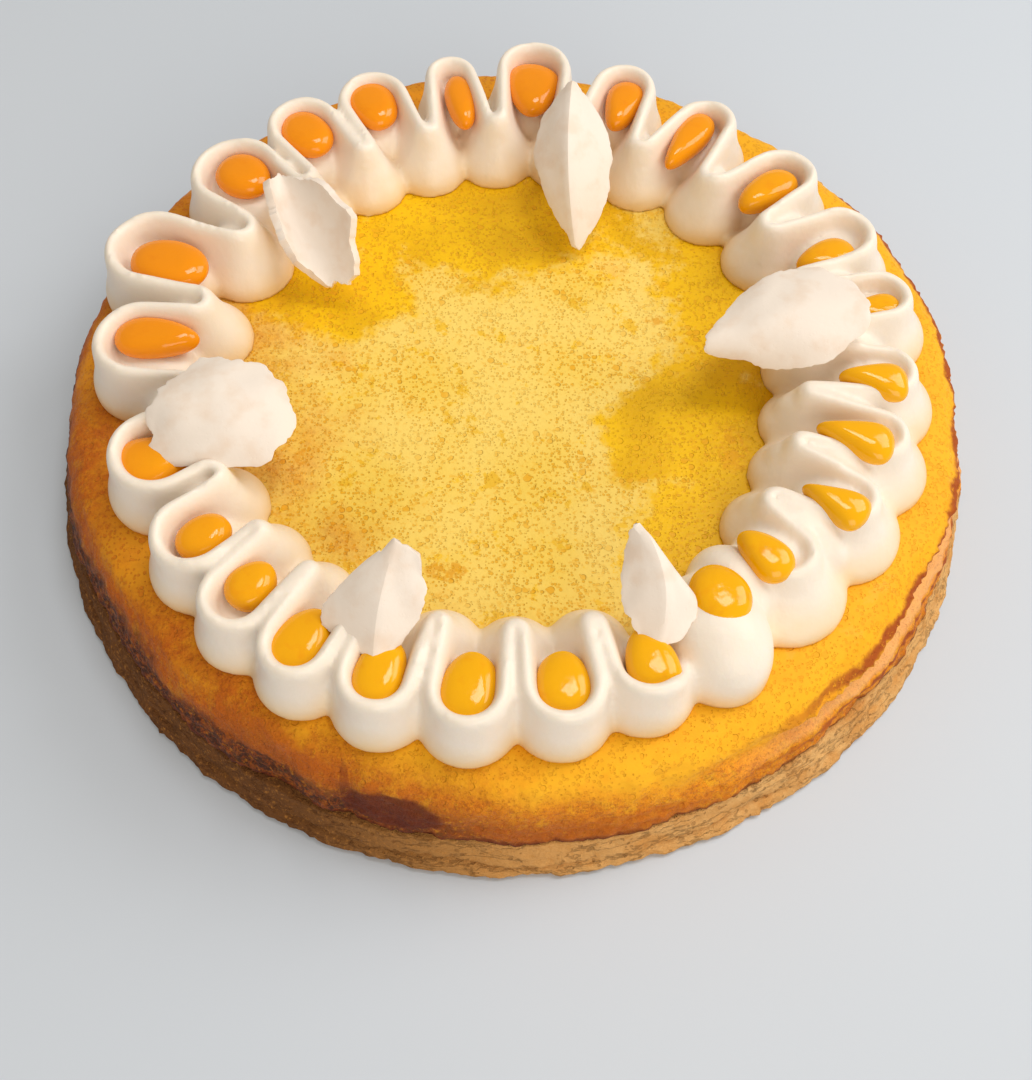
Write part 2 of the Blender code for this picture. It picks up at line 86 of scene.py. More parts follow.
def polar(bearing: float, distance: float) -> Vector:
    """Gives the level point at a bearing and a distance from the origin.

    Args:
        bearing: Degrees from +X towards +Y.
        distance: Metres from the origin.

    Returns:
        The point's X and Y.
    """
    turn = math.radians(bearing)
    return Vector((distance * math.cos(turn), distance * math.sin(turn)))


def smooth_step(low: float, high: float, value: np.ndarray) -> np.ndarray:
    """Rises smoothly from 0 at low to 1 at high.

    Args:
        low: Where the rise starts.
        high: Where it ends.
        value: The values to map.

    Returns:
        The mapped values, 0 to 1.
    """
    share = np.clip((value - low) / (high - low), 0, 1)
    return share * share * (3 - 2 * share)


def bearing_gap(bearings: np.ndarray, bearing: float) -> np.ndarray:
    """Gives the signed turn in degrees from one bearing to each of many, within half a turn."""
    return (bearings - bearing + 180) % 360 - 180


def mesh_object(name: str, points: Sequence, faces: Sequence) -> Piece:
    """Makes an object from points and faces and links it to the scene.

    Args:
        name: The object's name.
        points: The vertices.
        faces: Each face's vertex numbers.

    Returns:
        The new object.
    """
    mesh = bpy.data.meshes.new(name)
    mesh.from_pydata([tuple(p) for p in points], [], [tuple(f) for f in faces])
    mesh.validate()
    made = bpy.data.objects.new(name, mesh)
    bpy.context.scene.collection.objects.link(made)
    return made


def finished(name: str, shape: bmesh.types.BMesh) -> Piece:
    """Turns an edited mesh into an object and links it to the scene."""
    mesh = bpy.data.meshes.new(name)
    shape.to_mesh(mesh)
    shape.free()
    made = bpy.data.objects.new(name, mesh)
    bpy.context.scene.collection.objects.link(made)
    return made


def apply_modifiers(piece: Piece) -> None:
    """Replaces a piece's mesh by what its modifiers make of it, and drops them."""
    bpy.context.view_layer.update()
    graph = bpy.context.evaluated_depsgraph_get()
    shaped = bpy.data.meshes.new_from_object(piece.evaluated_get(graph))
    piece.modifiers.clear()
    piece.data = shaped


def dress(piece: Piece, material: Material) -> Piece:
    """Gives a piece smooth shading and its only material."""
    piece.data.shade_smooth()
    piece.data.materials.clear()
    piece.data.materials.append(material)
    return piece


@dataclass(frozen=True)
class Grain:
    """A noise cut to a mask: its scale, detail and roughness, and where the mask starts and is full."""

    scale: float
    detail: float
    rough: float
    low: float
    high: float


class Graph:
    """A shader tree with short ways to add and link its nodes."""

    def __init__(self, tree: Group) -> None:
        """Keeps the tree that the nodes go in."""
        self.tree = tree

    def node(self, kind: str, **settings: object) -> Node:
        """Adds a node of a kind and sets its properties."""
        made = self.tree.nodes.new(kind)
        for name, value in settings.items():
            setattr(made, name, value)
        return made

    def feed(self, socket: Socket, value: object) -> None:
        """Links a socket to another socket's output, or sets it to a constant."""
        if isinstance(value, Socket):
            self.tree.links.new(value, socket)
        elif socket.type == "RGBA":
            socket.default_value = (*value[:3], 1.0)
        else:
            socket.default_value = value

    def math(self, operation: str, first: object, second: object = 0.0) -> Socket:
        """Adds a Math node and gives its result."""
        made = self.node("ShaderNodeMath", operation=operation)
        self.feed(made.inputs[0], first)
        self.feed(made.inputs[1], second)
        return made.outputs[0]

    def plus(self, first: object, second: object) -> Socket:
        """Adds two values."""
        return self.math("ADD", first, second)

    def minus(self, first: object, second: object) -> Socket:
        """Takes the second value from the first."""
        return self.math("SUBTRACT", first, second)

    def times(self, first: object, *others: object) -> Socket:
        """Multiplies values."""
        for other in others:
            first = self.math("MULTIPLY", first, other)
        return first

    def most(self, first: object, second: object) -> Socket:
        """Gives the larger of two values."""
        return self.math("MAXIMUM", first, second)

    def swing(self, value: Socket, reach: float) -> Socket:
        """Centres a noise on zero and scales it."""
        return self.times(self.minus(value, 0.5), reach)

    def vector(self, operation: str, first: object, second: object = (0.0, 0.0, 0.0)) -> Node:
        """Adds a Vector Math node."""
        made = self.node("ShaderNodeVectorMath", operation=operation)
        self.feed(made.inputs[0], first)
        self.feed(made.inputs[1], second)
        return made

    def step(self, value: object, low: float, high: float) -> Socket:
        """Maps a value smoothly from 0 at low to 1 at high."""
        made = self.node("ShaderNodeMapRange", interpolation_type="SMOOTHSTEP")
        self.feed(made.inputs["Value"], value)
        self.feed(made.inputs["From Min"], low)
        self.feed(made.inputs["From Max"], high)
        return made.outputs["Result"]

    def fall(self, value: object, low: float, high: float) -> Socket:
        """Maps a value smoothly from 1 at low to 0 at high."""
        return self.minus(1.0, self.step(value, low, high))

    def blend(self, share: object, first: object, second: object) -> Socket:
        """Mixes two colours by a share."""
        made = self.node("ShaderNodeMix", data_type="RGBA")
        self.feed(made.inputs["Factor"], share)
        self.feed(made.inputs[6], first)
        self.feed(made.inputs[7], second)
        return made.outputs[2]

    def layer(self, below: object, tone: object, *shares: object) -> Socket:
        """Lays a colour over another where all its masks meet."""
        return self.blend(self.times(*shares), below, tone)

    def cloud(self, place: object, scale: float, detail: float = 3.0, rough: float = 0.5) -> Socket:
        """Adds a Noise texture and gives its value."""
        made = self.node("ShaderNodeTexNoise")
        self.feed(made.inputs["Vector"], place)
        self.feed(made.inputs["Scale"], scale)
        self.feed(made.inputs["Detail"], detail)
        self.feed(made.inputs["Roughness"], rough)
        return made.outputs["Fac"]

    def grains(self, place: object, grain: Grain) -> Socket:
        """Gives a noise cut to a mask."""
        return self.step(self.cloud(place, grain.scale, grain.detail, grain.rough), grain.low, grain.high)

    def place(self) -> Socket:
        """Gives the point on the surface, in metres."""
        return self.node("ShaderNodeTexCoord").outputs["Object"]

    def axes(self, place: Socket) -> tuple[Socket, ...]:
        """Splits a point into its X, Y and Z."""
        split = self.node("ShaderNodeSeparateXYZ")
        self.feed(split.inputs[0], place)
        return tuple(split.outputs)

    def bump(self, height: object, distance: float, strength: float = 1.0) -> Socket:
        """Turns a height into a normal."""
        made = self.node("ShaderNodeBump")
        made.inputs["Distance"].default_value = distance
        made.inputs["Strength"].default_value = strength
        self.feed(made.inputs["Height"], height)
        return made.outputs["Normal"]

    def mask(self, group: Group, **values: object) -> Socket:
        """Places a shared group, feeds its inputs by name and gives its mask."""
        made = self.node("ShaderNodeGroup", node_tree=group)
        for name, value in values.items():
            self.feed(made.inputs[name], value)
        return made.outputs["Mask"]


def new_group(name: str, inputs: dict[str, tuple[str, object]]) -> tuple:
    """Starts a shared shader group that gives a mask.

    Args:
        name: The group's name.
        inputs: Each input's socket kind and default, by name.

    Returns:
        The tree, its graph, its input sockets by name and the socket that takes the mask.
    """
    tree = bpy.data.node_groups.new(name, "ShaderNodeTree")
    for label, (kind, default) in inputs.items():
        socket = tree.interface.new_socket(label, in_out="INPUT", socket_type=kind)
        if default is not None:
            socket.default_value = default
    tree.interface.new_socket("Mask", in_out="OUTPUT", socket_type="NodeSocketFloat")
    graph = Graph(tree)
    return tree, graph, graph.node("NodeGroupInput").outputs, graph.node("NodeGroupOutput").inputs["Mask"]


def pore_group() -> Group:
    """Builds the shared scatter of round pores: some cells of a Voronoi field hold a dot of varied size."""
    tree, graph, given, mask = new_group(
        "baked_pores",
        {"Place": ("NodeSocketVector", None), "Scale": ("NodeSocketFloat", 500.0),
         "Size": ("NodeSocketFloat", 0.35), "Share": ("NodeSocketFloat", 0.5)},
    )
    cells = graph.node("ShaderNodeTexVoronoi")
    graph.feed(cells.inputs["Vector"], given["Place"])
    graph.feed(cells.inputs["Scale"], given["Scale"])
    chance = graph.node("ShaderNodeSeparateColor")
    graph.feed(chance.inputs[0], cells.outputs["Color"])
    inside = graph.minus(graph.times(given["Size"], chance.outputs[1]), cells.outputs["Distance"])
    picked = graph.math("LESS_THAN", chance.outputs[0], given["Share"])
    graph.feed(mask, graph.times(graph.step(inside, 0.0, PORE_EDGE), picked))
    return tree


def patch_group() -> Group:
    """Builds the shared soft patch: an oval round a centre whose edge is broken up by a noise."""
    tree, graph, given, mask = new_group(
        "ragged_patch",
        {"Place": ("NodeSocketVector", None), "Centre": ("NodeSocketVector", None),
         "Stretch": ("NodeSocketVector", (1.0, 1.0, 1.0)), "Ragged": ("NodeSocketFloat", 0.6),
         "Drift": ("NodeSocketFloat", 0.5)},
    )
    away = graph.vector("SUBTRACT", given["Place"], given["Centre"]).outputs[0]
    scaled = graph.vector("MULTIPLY", away, given["Stretch"]).outputs[0]
    far = graph.vector("LENGTH", scaled).outputs["Value"]
    shift = graph.times(graph.swing(given["Drift"], 2.0), given["Ragged"])
    graph.feed(mask, graph.fall(graph.plus(far, shift), *PATCH_EDGE))
    return tree


def fresh_material(name: str, finish: dict[str, object]) -> tuple[Material, Graph, Node]:
    """Starts a material around one Principled shader.

    Args:
        name: The material's name.
        finish: The shader's constants by input name.

    Returns:
        The material, its graph and its shader.
    """
    made = bpy.data.materials.new(name)
    made.use_nodes = True
    shader = made.node_tree.nodes["Principled BSDF"]
    for label, value in finish.items():
        shader.inputs[label].default_value = value
    return made, Graph(made.node_tree), shader


@dataclass(frozen=True)
class CreamFinish:
    """Whipped cream: pale, faintly see-through and softly shiny, with warm shade painted low between the
    folds.
    """

    crest: Colour = srgb(243, 232, 219)
    # Painted shade: the warm darker tone laid low between the folds, standing for shade and the cake's warm
    # bounced light.
    hollow_shade: Colour = srgb(235, 198, 136)
    shade_heights: tuple[float, float] = (0.031, 0.0425)
    wander: float = 0.006

    def material(self) -> Material:
        """Builds the cream's material."""
        made, graph, shader = fresh_material("whipped_cream", {
            "Roughness": 0.42, "Subsurface Weight": 0.12, "Subsurface Radius": (1.0, 0.75, 0.45),
            "Subsurface Scale": 0.004,
        })
        place = graph.place()
        height = graph.plus(graph.axes(place)[2], graph.times(graph.cloud(place, 90.0), self.wander))
        # Painted shade: below the crest heights the cream turns to the warm shaded tone.
        tone = graph.blend(graph.step(height, *self.shade_heights), self.hollow_shade, self.crest)
        graph.feed(shader.inputs["Base Color"], tone)
        fine = graph.times(graph.cloud(place, 2600.0, 2.0), 0.12)
        relief = graph.plus(graph.cloud(place, 420.0, 2.0), fine)
        graph.feed(shader.inputs["Normal"], graph.bump(relief, 0.0003, 0.5))
        return made


@dataclass(frozen=True)
class CurdFinish:
    """Fruit curd: a glossy gel, orange at the back left and yellower towards the front right."""

    orange: Colour = srgb(242, 146, 2)
    yellow: Colour = srgb(243, 176, 2)
    streaks: Grain = Grain(260.0, 4.0, 0.5, 0.55, 0.75)
    streak_tint: Colour = (0.93, 0.80, 0.7)
    turning: tuple[float, float] = (-0.05, 0.11)

    def material(self) -> Material:
        """Builds the curd's material."""
        made, graph, shader = fresh_material("curd", {
            "Roughness": 0.09, "Specular IOR Level": 0.25, "Coat Weight": 0.25, "Coat Roughness": 0.05,
        })
        place = graph.place()
        x, y, _ = graph.axes(place)
        wander = graph.times(graph.cloud(place, 60.0), 0.05)
        front_right = graph.plus(graph.minus(graph.times(x, 0.8), y), wander)
        tone = graph.blend(graph.step(front_right, *self.turning), self.orange, self.yellow)
        deeper = tuple(c * s for c, s in zip(self.orange, self.streak_tint))
        tone = graph.layer(tone, deeper, graph.grains(place, self.streaks), 0.3)
        graph.feed(shader.inputs["Base Color"], tone)
        graph.feed(shader.inputs["Normal"], graph.bump(graph.cloud(place, 300.0, 2.0), 0.0003, 0.5))
        return made


@dataclass(frozen=True)
class MeringueFinish:
    """Dried meringue: white with a hint of pink, matt, with a finely pitted skin."""

    skin: Colour = srgb(241, 230, 220)
    worn: Colour = srgb(236, 219, 204)
    wear: Grain = Grain(160.0, 5.0, 0.5, 0.45, 0.7)
    pores: Group | None = None

    def material(self) -> Material:
        """Builds the meringue's material."""
        made, graph, shader = fresh_material("meringue", {"Roughness": 0.8})
        place = graph.place()
        tone = graph.blend(graph.grains(place, self.wear), self.skin, self.worn)
        graph.feed(shader.inputs["Base Color"], tone)
        pits = graph.mask(self.pores, Place=place, Scale=1500.0, Size=0.5, Share=0.3)
        relief = graph.minus(graph.times(graph.cloud(place, 500.0), 1.2), graph.times(pits, 0.3))
        graph.feed(shader.inputs["Normal"], graph.bump(relief, 0.00025, 0.25))
        return made


@dataclass(frozen=True)
class Patch:
    """An oval spot on the filling: its centre, its stretch on each axis, strength, raggedness and colour."""

    centre: tuple[float, float, float]
    stretch: tuple[float, float, float]
    share: float = 1.0
    ragged: float = 1.0
    tone: Colour | None = None


@dataclass(frozen=True)
class Field:
    """What the filling's colours are worked out from: the graph, the point, its axes and two slow noises."""

    graph: Graph
    place: Socket
    x: Socket
    y: Socket
    z: Socket
    browning: Socket
    drift: Socket


@dataclass(frozen=True)
class FillingFinish:
    """The baked filling: a pale matt skin, partly a painted reflection, with wet yellow patches, small pores,
    and a brown side with painted shade on its left.
    """

    # The pale skin colour is partly a painted reflection of bright light on the glossy top; the wet colours
    # keep the deeper yellow.
    skin: Colour = srgb(248, 215, 110)
    creamy: Colour = srgb(243, 206, 86)
    wet: Colour = srgb(247, 196, 12)
    moist: Colour = srgb(232, 180, 10)
    speck: Colour = srgb(234, 170, 22)
    blotch: Colour = srgb(226, 156, 14)
    annulus: Colour = srgb(247, 180, 28)
    # Amber laid towards the back left of the rim, partly browning and partly painted shade.
    amber: Colour = srgb(214, 138, 22)
    side: Colour = srgb(250, 158, 18)
    brown: Colour = srgb(196, 100, 14)
    burnt: Colour = srgb(98, 36, 16)
    # Near-black brown laid low on the left, partly charring and partly painted shade.
    charred_and_shade: Colour = srgb(50, 26, 20)
    groove: Colour = srgb(244, 182, 118)
    crust: Colour = srgb(166, 78, 18)

    creaminess: Grain = Grain(45.0, 5.0, 0.5, 0.35, 0.7)
    moisture: Grain = Grain(60.0, 4.0, 0.5, 0.40, 0.62)
    flecks: Grain = Grain(125.0, 7.0, 0.74, 0.575, 0.615)
    crumbling: Grain = Grain(520.0, 5.0, 0.72, 0.42, 0.56)
    speckle: Grain = Grain(820.0, 3.0, 0.6, 0.53, 0.66)
    crowding: Grain = Grain(42.0, 5.0, 0.65, 0.36, 0.62)
    glaze: Grain = Grain(120.0, 6.0, 0.68, 0.46, 0.64)
    golden: Grain = Grain(240.0, 6.0, 0.72, 0.47, 0.63)
    mottle: Grain = Grain(380.0, 6.0, 0.75, 0.48, 0.60)
    toast: Grain = Grain(980.0, 5.0, 0.75, 0.47, 0.62)
    # Small bright specks on the side, painted glints.
    painted_glints: Grain = Grain(760.0, 5.0, 0.75, 0.54, 0.66)
    seam_gaps: Grain = Grain(520.0, 5.0, 0.75, 0.28, 0.44)

    wet_spots: tuple[Patch, ...] = (
        Patch((-0.012, 0.050, 0.03), (22.0, 40.0, 1.0), ragged=0.95),
        Patch((-0.046, 0.024, 0.03), (48.0, 60.0, 1.0), ragged=0.95),
        Patch((0.056, 0.024, 0.03), (52.0, 28.0, 1.0), ragged=0.95),
        Patch((0.052, -0.020, 0.03), (38.0, 42.0, 1.0), ragged=0.95),
        Patch((0.032, -0.022, 0.03), (75.0, 75.0, 1.0), ragged=0.95),
        Patch((0.042, -0.046, 0.03), (60.0, 55.0, 1.0), ragged=0.95),
    )
    blotches: tuple[Patch, ...] = (
        Patch((0.0348, 0.0145, 0.03), (380.0, 520.0, 1.0), 0.70),
        Patch((-0.0139, -0.0567, 0.03), (210.0, 430.0, 1.0), 0.75),
        Patch((-0.0474, -0.0279, 0.03), (480.0, 420.0, 1.0), 0.65),
        Patch((0.0509, -0.0239, 0.03), (270.0, 150.0, 1.0), 0.65),
    )
    marks: tuple[Patch, ...] = (
        Patch((-0.048, -0.094, 0.0235), (62.0, 62.0, 190.0), 0.55, 0.8, brown),
        Patch((-0.0225, -0.1065, 0.0180), (92.0, 60.0, 175.0), 0.85, 0.30, burnt),
        Patch((-0.0325, -0.1035, 0.0205), (900.0, 100.0, 115.0), 0.40, 0.25, burnt),
        Patch((0.020, -0.108, 0.0150), (40.0, 60.0, 260.0), 0.50, 0.9, brown),
    )
    seam_lines: tuple[float, float] = (0.0256, 0.0160)
    pores: Group | None = None
    patches: Group | None = None

    def patch(self, field: Field, patch: Patch) -> Socket:
        """Gives one patch's mask."""
        return field.graph.mask(self.patches, Place=field.place, Centre=patch.centre, Stretch=patch.stretch,
                                Ragged=patch.ragged, Drift=field.drift)

    def dots(self, field: Field) -> Socket:
        """Gives the mask of the small and large pores."""
        fine = field.graph.mask(self.pores, Place=field.place, Scale=1350.0, Size=0.62, Share=0.85)
        large = field.graph.mask(self.pores, Place=field.place, Scale=560.0, Size=0.60, Share=0.26)
        return field.graph.most(fine, large)

    def wetness(self, field: Field) -> Socket:
        """Gives the mask of the wet patches and flecks."""
        graph = field.graph
        wet = graph.times(graph.grains(field.place, self.flecks), 0.75)
        for spot in self.wet_spots:
            wet = graph.most(wet, self.patch(field, spot))
        return wet

    def top_colour(self, field: Field, wet: Socket, pores: Socket) -> Socket:
        """Colours the level skin inside the ruffle; its pale parts are partly a painted reflection.

        Args:
            field: What the colours are worked out from.
            wet: The wet mask.
            pores: The pore mask.

        Returns:
            The colour.
        """
        graph, place = field.graph, field.place
        # The pale skin outside the wet patches is partly a painted reflection.
        tone = graph.blend(graph.grains(place, self.creaminess), self.skin, self.creamy)
        tone = graph.layer(tone, graph.blend(graph.grains(place, self.moisture), self.wet, self.moist), wet)
        crumbled = graph.grains(place, self.crumbling)
        for spot in self.blotches:
            tone = graph.layer(tone, self.blotch, self.patch(field, spot), crumbled, spot.share)
        strength = graph.plus(0.30, graph.times(graph.grains(place, self.crowding), 0.55))
        dots = graph.most(pores, graph.times(graph.grains(place, self.speckle), 0.7))
        return graph.layer(tone, self.speck, dots, strength)

    def rim_colour(self, field: Field, pores: Socket) -> Socket:
        """Colours the ring of skin outside the ruffle, amber towards the back left, partly from browning and
        partly painted shade.

        Args:
            field: What the colours are worked out from.
            pores: The pore mask.

        Returns:
            The colour.
        """
        graph = field.graph
        # Painted shade with browning: the rim turns amber and its pores browner towards the back left.
        back_left = graph.minus(graph.times(field.y, 0.55), field.x)
        toast_and_shade = graph.step(graph.plus(back_left, graph.times(field.browning, 0.05)), -0.02, 0.12)
        rim = graph.blend(toast_and_shade, self.annulus, self.amber)
        rim = graph.layer(rim, self.brown, pores, graph.plus(0.15, graph.times(toast_and_shade, 0.5)))
        return graph.layer(rim, self.side, graph.grains(field.place, self.glaze), 0.35)

    def browned_and_shaded(self, field: Field, colour: Socket, squeezed: Socket) -> tuple[Socket, Socket]:
        """Browns the side, darkest low down and on the left, where the dark is partly burnt crust and partly
        painted shade.

        Args:
            field: What the colours are worked out from.
            colour: The colour of the skin above.
            squeezed: The point with its height shrunk, which stretches a noise upwards.

        Returns:
            The colour, and the mask of the middle height, where the side browns.
        """
        graph, place = field.graph, field.place
        lean = graph.plus(field.x, graph.times(field.y, LEAN_SHARE))
        # Painted shade with browning: this mask darkens the side towards the left front, raises the brown
        # band there and deepens the char low down.
        left = graph.step(graph.minus(graph.swing(field.browning, 0.10), lean), -0.015, 0.092)
        height = graph.plus(field.z, graph.swing(field.browning, 0.020))
        height = graph.minus(height, graph.times(left, 0.0058))
        low, middle = graph.fall(height, 0.0120, 0.0205), graph.fall(height, 0.0195, 0.0272)
        side = graph.layer(colour, graph.blend(left, self.side, self.brown), middle)
        calmer = graph.minus(0.75, graph.times(left, 0.45))
        side = graph.layer(side, self.annulus, graph.grains(squeezed, self.golden), calmer, middle)
        # Low down the side goes near-black towards the left, partly burnt crust and partly painted shade.
        burn_and_shade = graph.plus(0.56, graph.times(left, 0.38))
        side = graph.layer(side, graph.blend(left, self.brown, self.charred_and_shade), low, burn_and_shade)
        side = graph.layer(side, self.brown, graph.grains(place, self.mottle), middle, 0.42)
        side = graph.layer(side, self.crust, graph.grains(place, self.toast), middle, 0.55)
        # Painted glints: bright yellow specks on the side's middle, fewer on the left.
        fewer = graph.minus(0.6, graph.times(left, 0.4))
        side = graph.layer(side, self.annulus, graph.grains(place, self.painted_glints), fewer, middle)
        for mark in self.marks:
            side = graph.layer(side, mark.tone, self.patch(field, mark), mark.share)
        return side, middle

    def seamed(self, field: Field, side: Socket) -> Socket:
        """Draws the pale groove and its two crusty lines on the right, and the dark joint with the base.

        Args:
            field: What the colours are worked out from.
            side: The browned side's colour.

        Returns:
            The colour.
        """
        graph = field.graph
        right = graph.step(field.x, 0.040, 0.080)
        level = graph.plus(field.z, graph.swing(field.browning, 0.006))
        groove = graph.times(graph.step(level, 0.0170, 0.0188), graph.fall(level, 0.0215, 0.0232))
        side = graph.layer(side, self.groove, groove, right, 0.75)
        gaps = graph.grains(field.place, self.seam_gaps)
        for line in self.seam_lines:
            far = graph.math("ABSOLUTE", graph.minus(level, line))
            side = graph.layer(side, self.crust, graph.fall(far, 0.0003, 0.0013), gaps, right)
        joint = graph.fall(graph.plus(field.z, graph.swing(field.browning, 0.002)), 0.0113, 0.0128)
        return graph.layer(side, self.burnt, joint, 0.7)

    def material(self) -> Material:
        """Builds the filling's material."""
        made, graph, shader = fresh_material("baked_filling", {"Specular IOR Level": 0.22})
        place = graph.place()
        field = Field(graph, place, *graph.axes(place), graph.cloud(place, 55.0, 5.0, 0.6),
                      graph.cloud(place, 75.0, 7.0, 0.68))
        wet, pores = self.wetness(field), self.dots(field)
        flat = graph.vector("MULTIPLY", place, (1.0, 1.0, 0.0)).outputs[0]
        radius = graph.vector("LENGTH", flat).outputs["Value"]
        squeezed = graph.vector("MULTIPLY", place, (1.0, 1.0, 0.55)).outputs[0]
        skin = graph.blend(graph.step(radius, 0.080, 0.094), self.top_colour(field, wet, pores),
                           self.rim_colour(field, pores))
        side, middle = self.browned_and_shaded(field, skin, squeezed)
        graph.feed(shader.inputs["Base Color"], self.seamed(field, side))
        graph.feed(shader.inputs["Roughness"], graph.minus(0.62, graph.times(wet, 0.22)))
        relief = graph.minus(graph.times(graph.cloud(place, 900.0, 2.0, 0.6), 0.35), pores)
        crags = graph.times(graph.cloud(squeezed, 420.0, 4.0, 0.78), middle, 3.2)
        graph.feed(shader.inputs["Normal"], graph.bump(graph.plus(relief, crags), 0.00045, 0.7))
        return made


@dataclass(frozen=True)
class CrumbFinish:
    """The crumb base: light brown, grainy and open, darker where it toasts and towards the left front, where
    the dark is partly toast and partly painted shade.
    """

    crumb: Colour = srgb(246, 192, 122)
    # Toasted brown, also laid towards the left front, where it is partly painted shade.
    toast_and_shade: Colour = srgb(222, 150, 70)
    gap: Colour = srgb(118, 64, 24)
    # Dark brown laid towards the left front, partly toasting and partly painted shade.
    dark: Colour = srgb(98, 56, 28)
    cloudy: Grain = Grain(120.0, 6.0, 0.65, 0.38, 0.68)
    grain: Grain = Grain(1100.0, 4.0, 0.7, 0.52, 0.7)
    pores: Group | None = None

    def material(self) -> Material:
        """Builds the base's material."""
        made, graph, shader = fresh_material("crumb", {"Roughness": 0.85, "Specular IOR Level": 0.2})
        place = graph.place()
        x, y, _ = graph.axes(place)
        # Painted shade with toasting: the crumb darkens towards the left front.
        lean = graph.times(graph.plus(x, graph.times(y, LEAN_SHARE)), -1.0)
        toasting_and_shade = graph.most(graph.times(graph.grains(place, self.cloudy), 0.7),
                              graph.times(graph.step(lean, -0.03, 0.09), 0.75))
        tone = graph.blend(toasting_and_shade, self.crumb, self.toast_and_shade)
        tone = graph.layer(tone, self.dark, graph.step(lean, 0.032, 0.092), 0.88)
        tone = graph.layer(tone, self.toast_and_shade, graph.grains(place, self.grain), 0.55)
        layered = graph.vector("MULTIPLY", place, (1.0, 1.0, 4.5)).outputs[0]
        band = graph.math("ABSOLUTE", graph.minus(graph.cloud(layered, 85.0, 6.0, 0.62), 0.5))
        crack = graph.fall(band, 0.004, 0.022)
        holes = graph.mask(self.pores, Place=place, Scale=900.0, Size=0.6, Share=0.22)
        tone = graph.layer(tone, self.gap, crack, 0.28)
        tone = graph.layer(tone, self.gap, holes, 0.32)
        graph.feed(shader.inputs["Base Color"], tone)
        lumps = graph.times(graph.cloud(place, 900.0, 4.0, 0.8), 2.2)
        dug = graph.plus(holes, graph.times(crack, 0.7))
        graph.feed(shader.inputs["Normal"], graph.bump(graph.minus(lumps, dug), 0.0006, 0.85))
        return made


@dataclass
class TurnedSide:
    """A round layer made of rings of points, whose side can be pushed in and out."""

    name: str
    outline: Sequence[tuple[float, float]]
    segments: int

    def build(self, push: Callable[[np.ndarray, np.ndarray, np.ndarray], np.ndarray]) -> Piece:
        """Makes the closed layer.

        Args:
            push: Gives the outward shift in metres from bearing in degrees, radius and height.

        Returns:
            The layer's object.
        """
        count = self.segments
        bearings = np.arange(count) * 360 / count
        turn = np.radians(bearings)
        points = [(0.0, 0.0, self.outline[0][1])]
        for radius, height in self.outline:
            heights = np.full(count, height)
            reach = radius + push(bearings, np.full(count, radius), heights)
            points += [tuple(p) for p in np.stack([reach * np.cos(turn), reach * np.sin(turn), heights], 1)]
        points.append((0.0, 0.0, self.outline[-1][1]))
        faces = [(0, 1 + i, 1 + (i + 1) % count) for i in range(count)]
        for ring in range(len(self.outline) - 1):
            start, below = 1 + ring * count, 1 + (ring + 1) * count
            for i in range(count):
                j = (i + 1) % count
                faces.append((start + i, below + i, below + j, start + j))
        last, end = 1 + (len(self.outline) - 1) * count, len(points) - 1
        faces += [(last + (i + 1) % count, last + i, end) for i in range(count)]
        return mesh_object(self.name, points, faces)


def fill_outline(corners: Sequence[tuple[float, float]], spacing: float) -> list[tuple[float, float]]:
    """Adds points along an outline so that none are further apart than the spacing."""
    filled = [corners[0]]
    for (r0, z0), (r1, z1) in zip(corners, corners[1:]):
        steps = max(1, math.ceil(math.hypot(r1 - r0, z1 - z0) / spacing))
        filled += [(r0 + (r1 - r0) * k / steps, z0 + (z1 - z0) * k / steps) for k in range(1, steps + 1)]
    return filled


@dataclass(frozen=True)
class Ripple:
    """A noise on a layer's side: its feature size, its reach and the seed that picks its pattern."""

    grain: float
    reach: float
    seed: float = 0.0

    def along(self, bearings: np.ndarray, radii: np.ndarray, heights: np.ndarray) -> np.ndarray:
        """Gives the noise at points given by bearing in degrees, distance from the middle and height."""
        offset = Vector((self.seed, self.seed, self.seed))
        shifts = []
        for turn, radius, height in zip(np.radians(bearings), radii, heights):
            spot = Vector((radius * math.cos(turn), radius * math.sin(turn), height)) / self.grain
            shifts.append(noise.noise(spot + offset) * self.reach)
        return np.array(shifts)


def around(bearings: np.ndarray, middle: float, inner: float, outer: float) -> np.ndarray:
    """Gives 1 within an inner turn of a bearing, falling smoothly to 0 at an outer turn."""
    return smooth_step(outer, inner, np.abs(bearing_gap(bearings, middle)))


def bell(value: np.ndarray, width: float) -> np.ndarray:
    """Gives 1 at zero, falling off in a bell of a width."""
    return np.exp(-((value / width) ** 2))


def left_dent(bearings: np.ndarray) -> np.ndarray:
    """Gives how far both layers are set back on the left."""
    return around(bearings, DENT_BEARING, 25, 75) * DENT_DEPTH


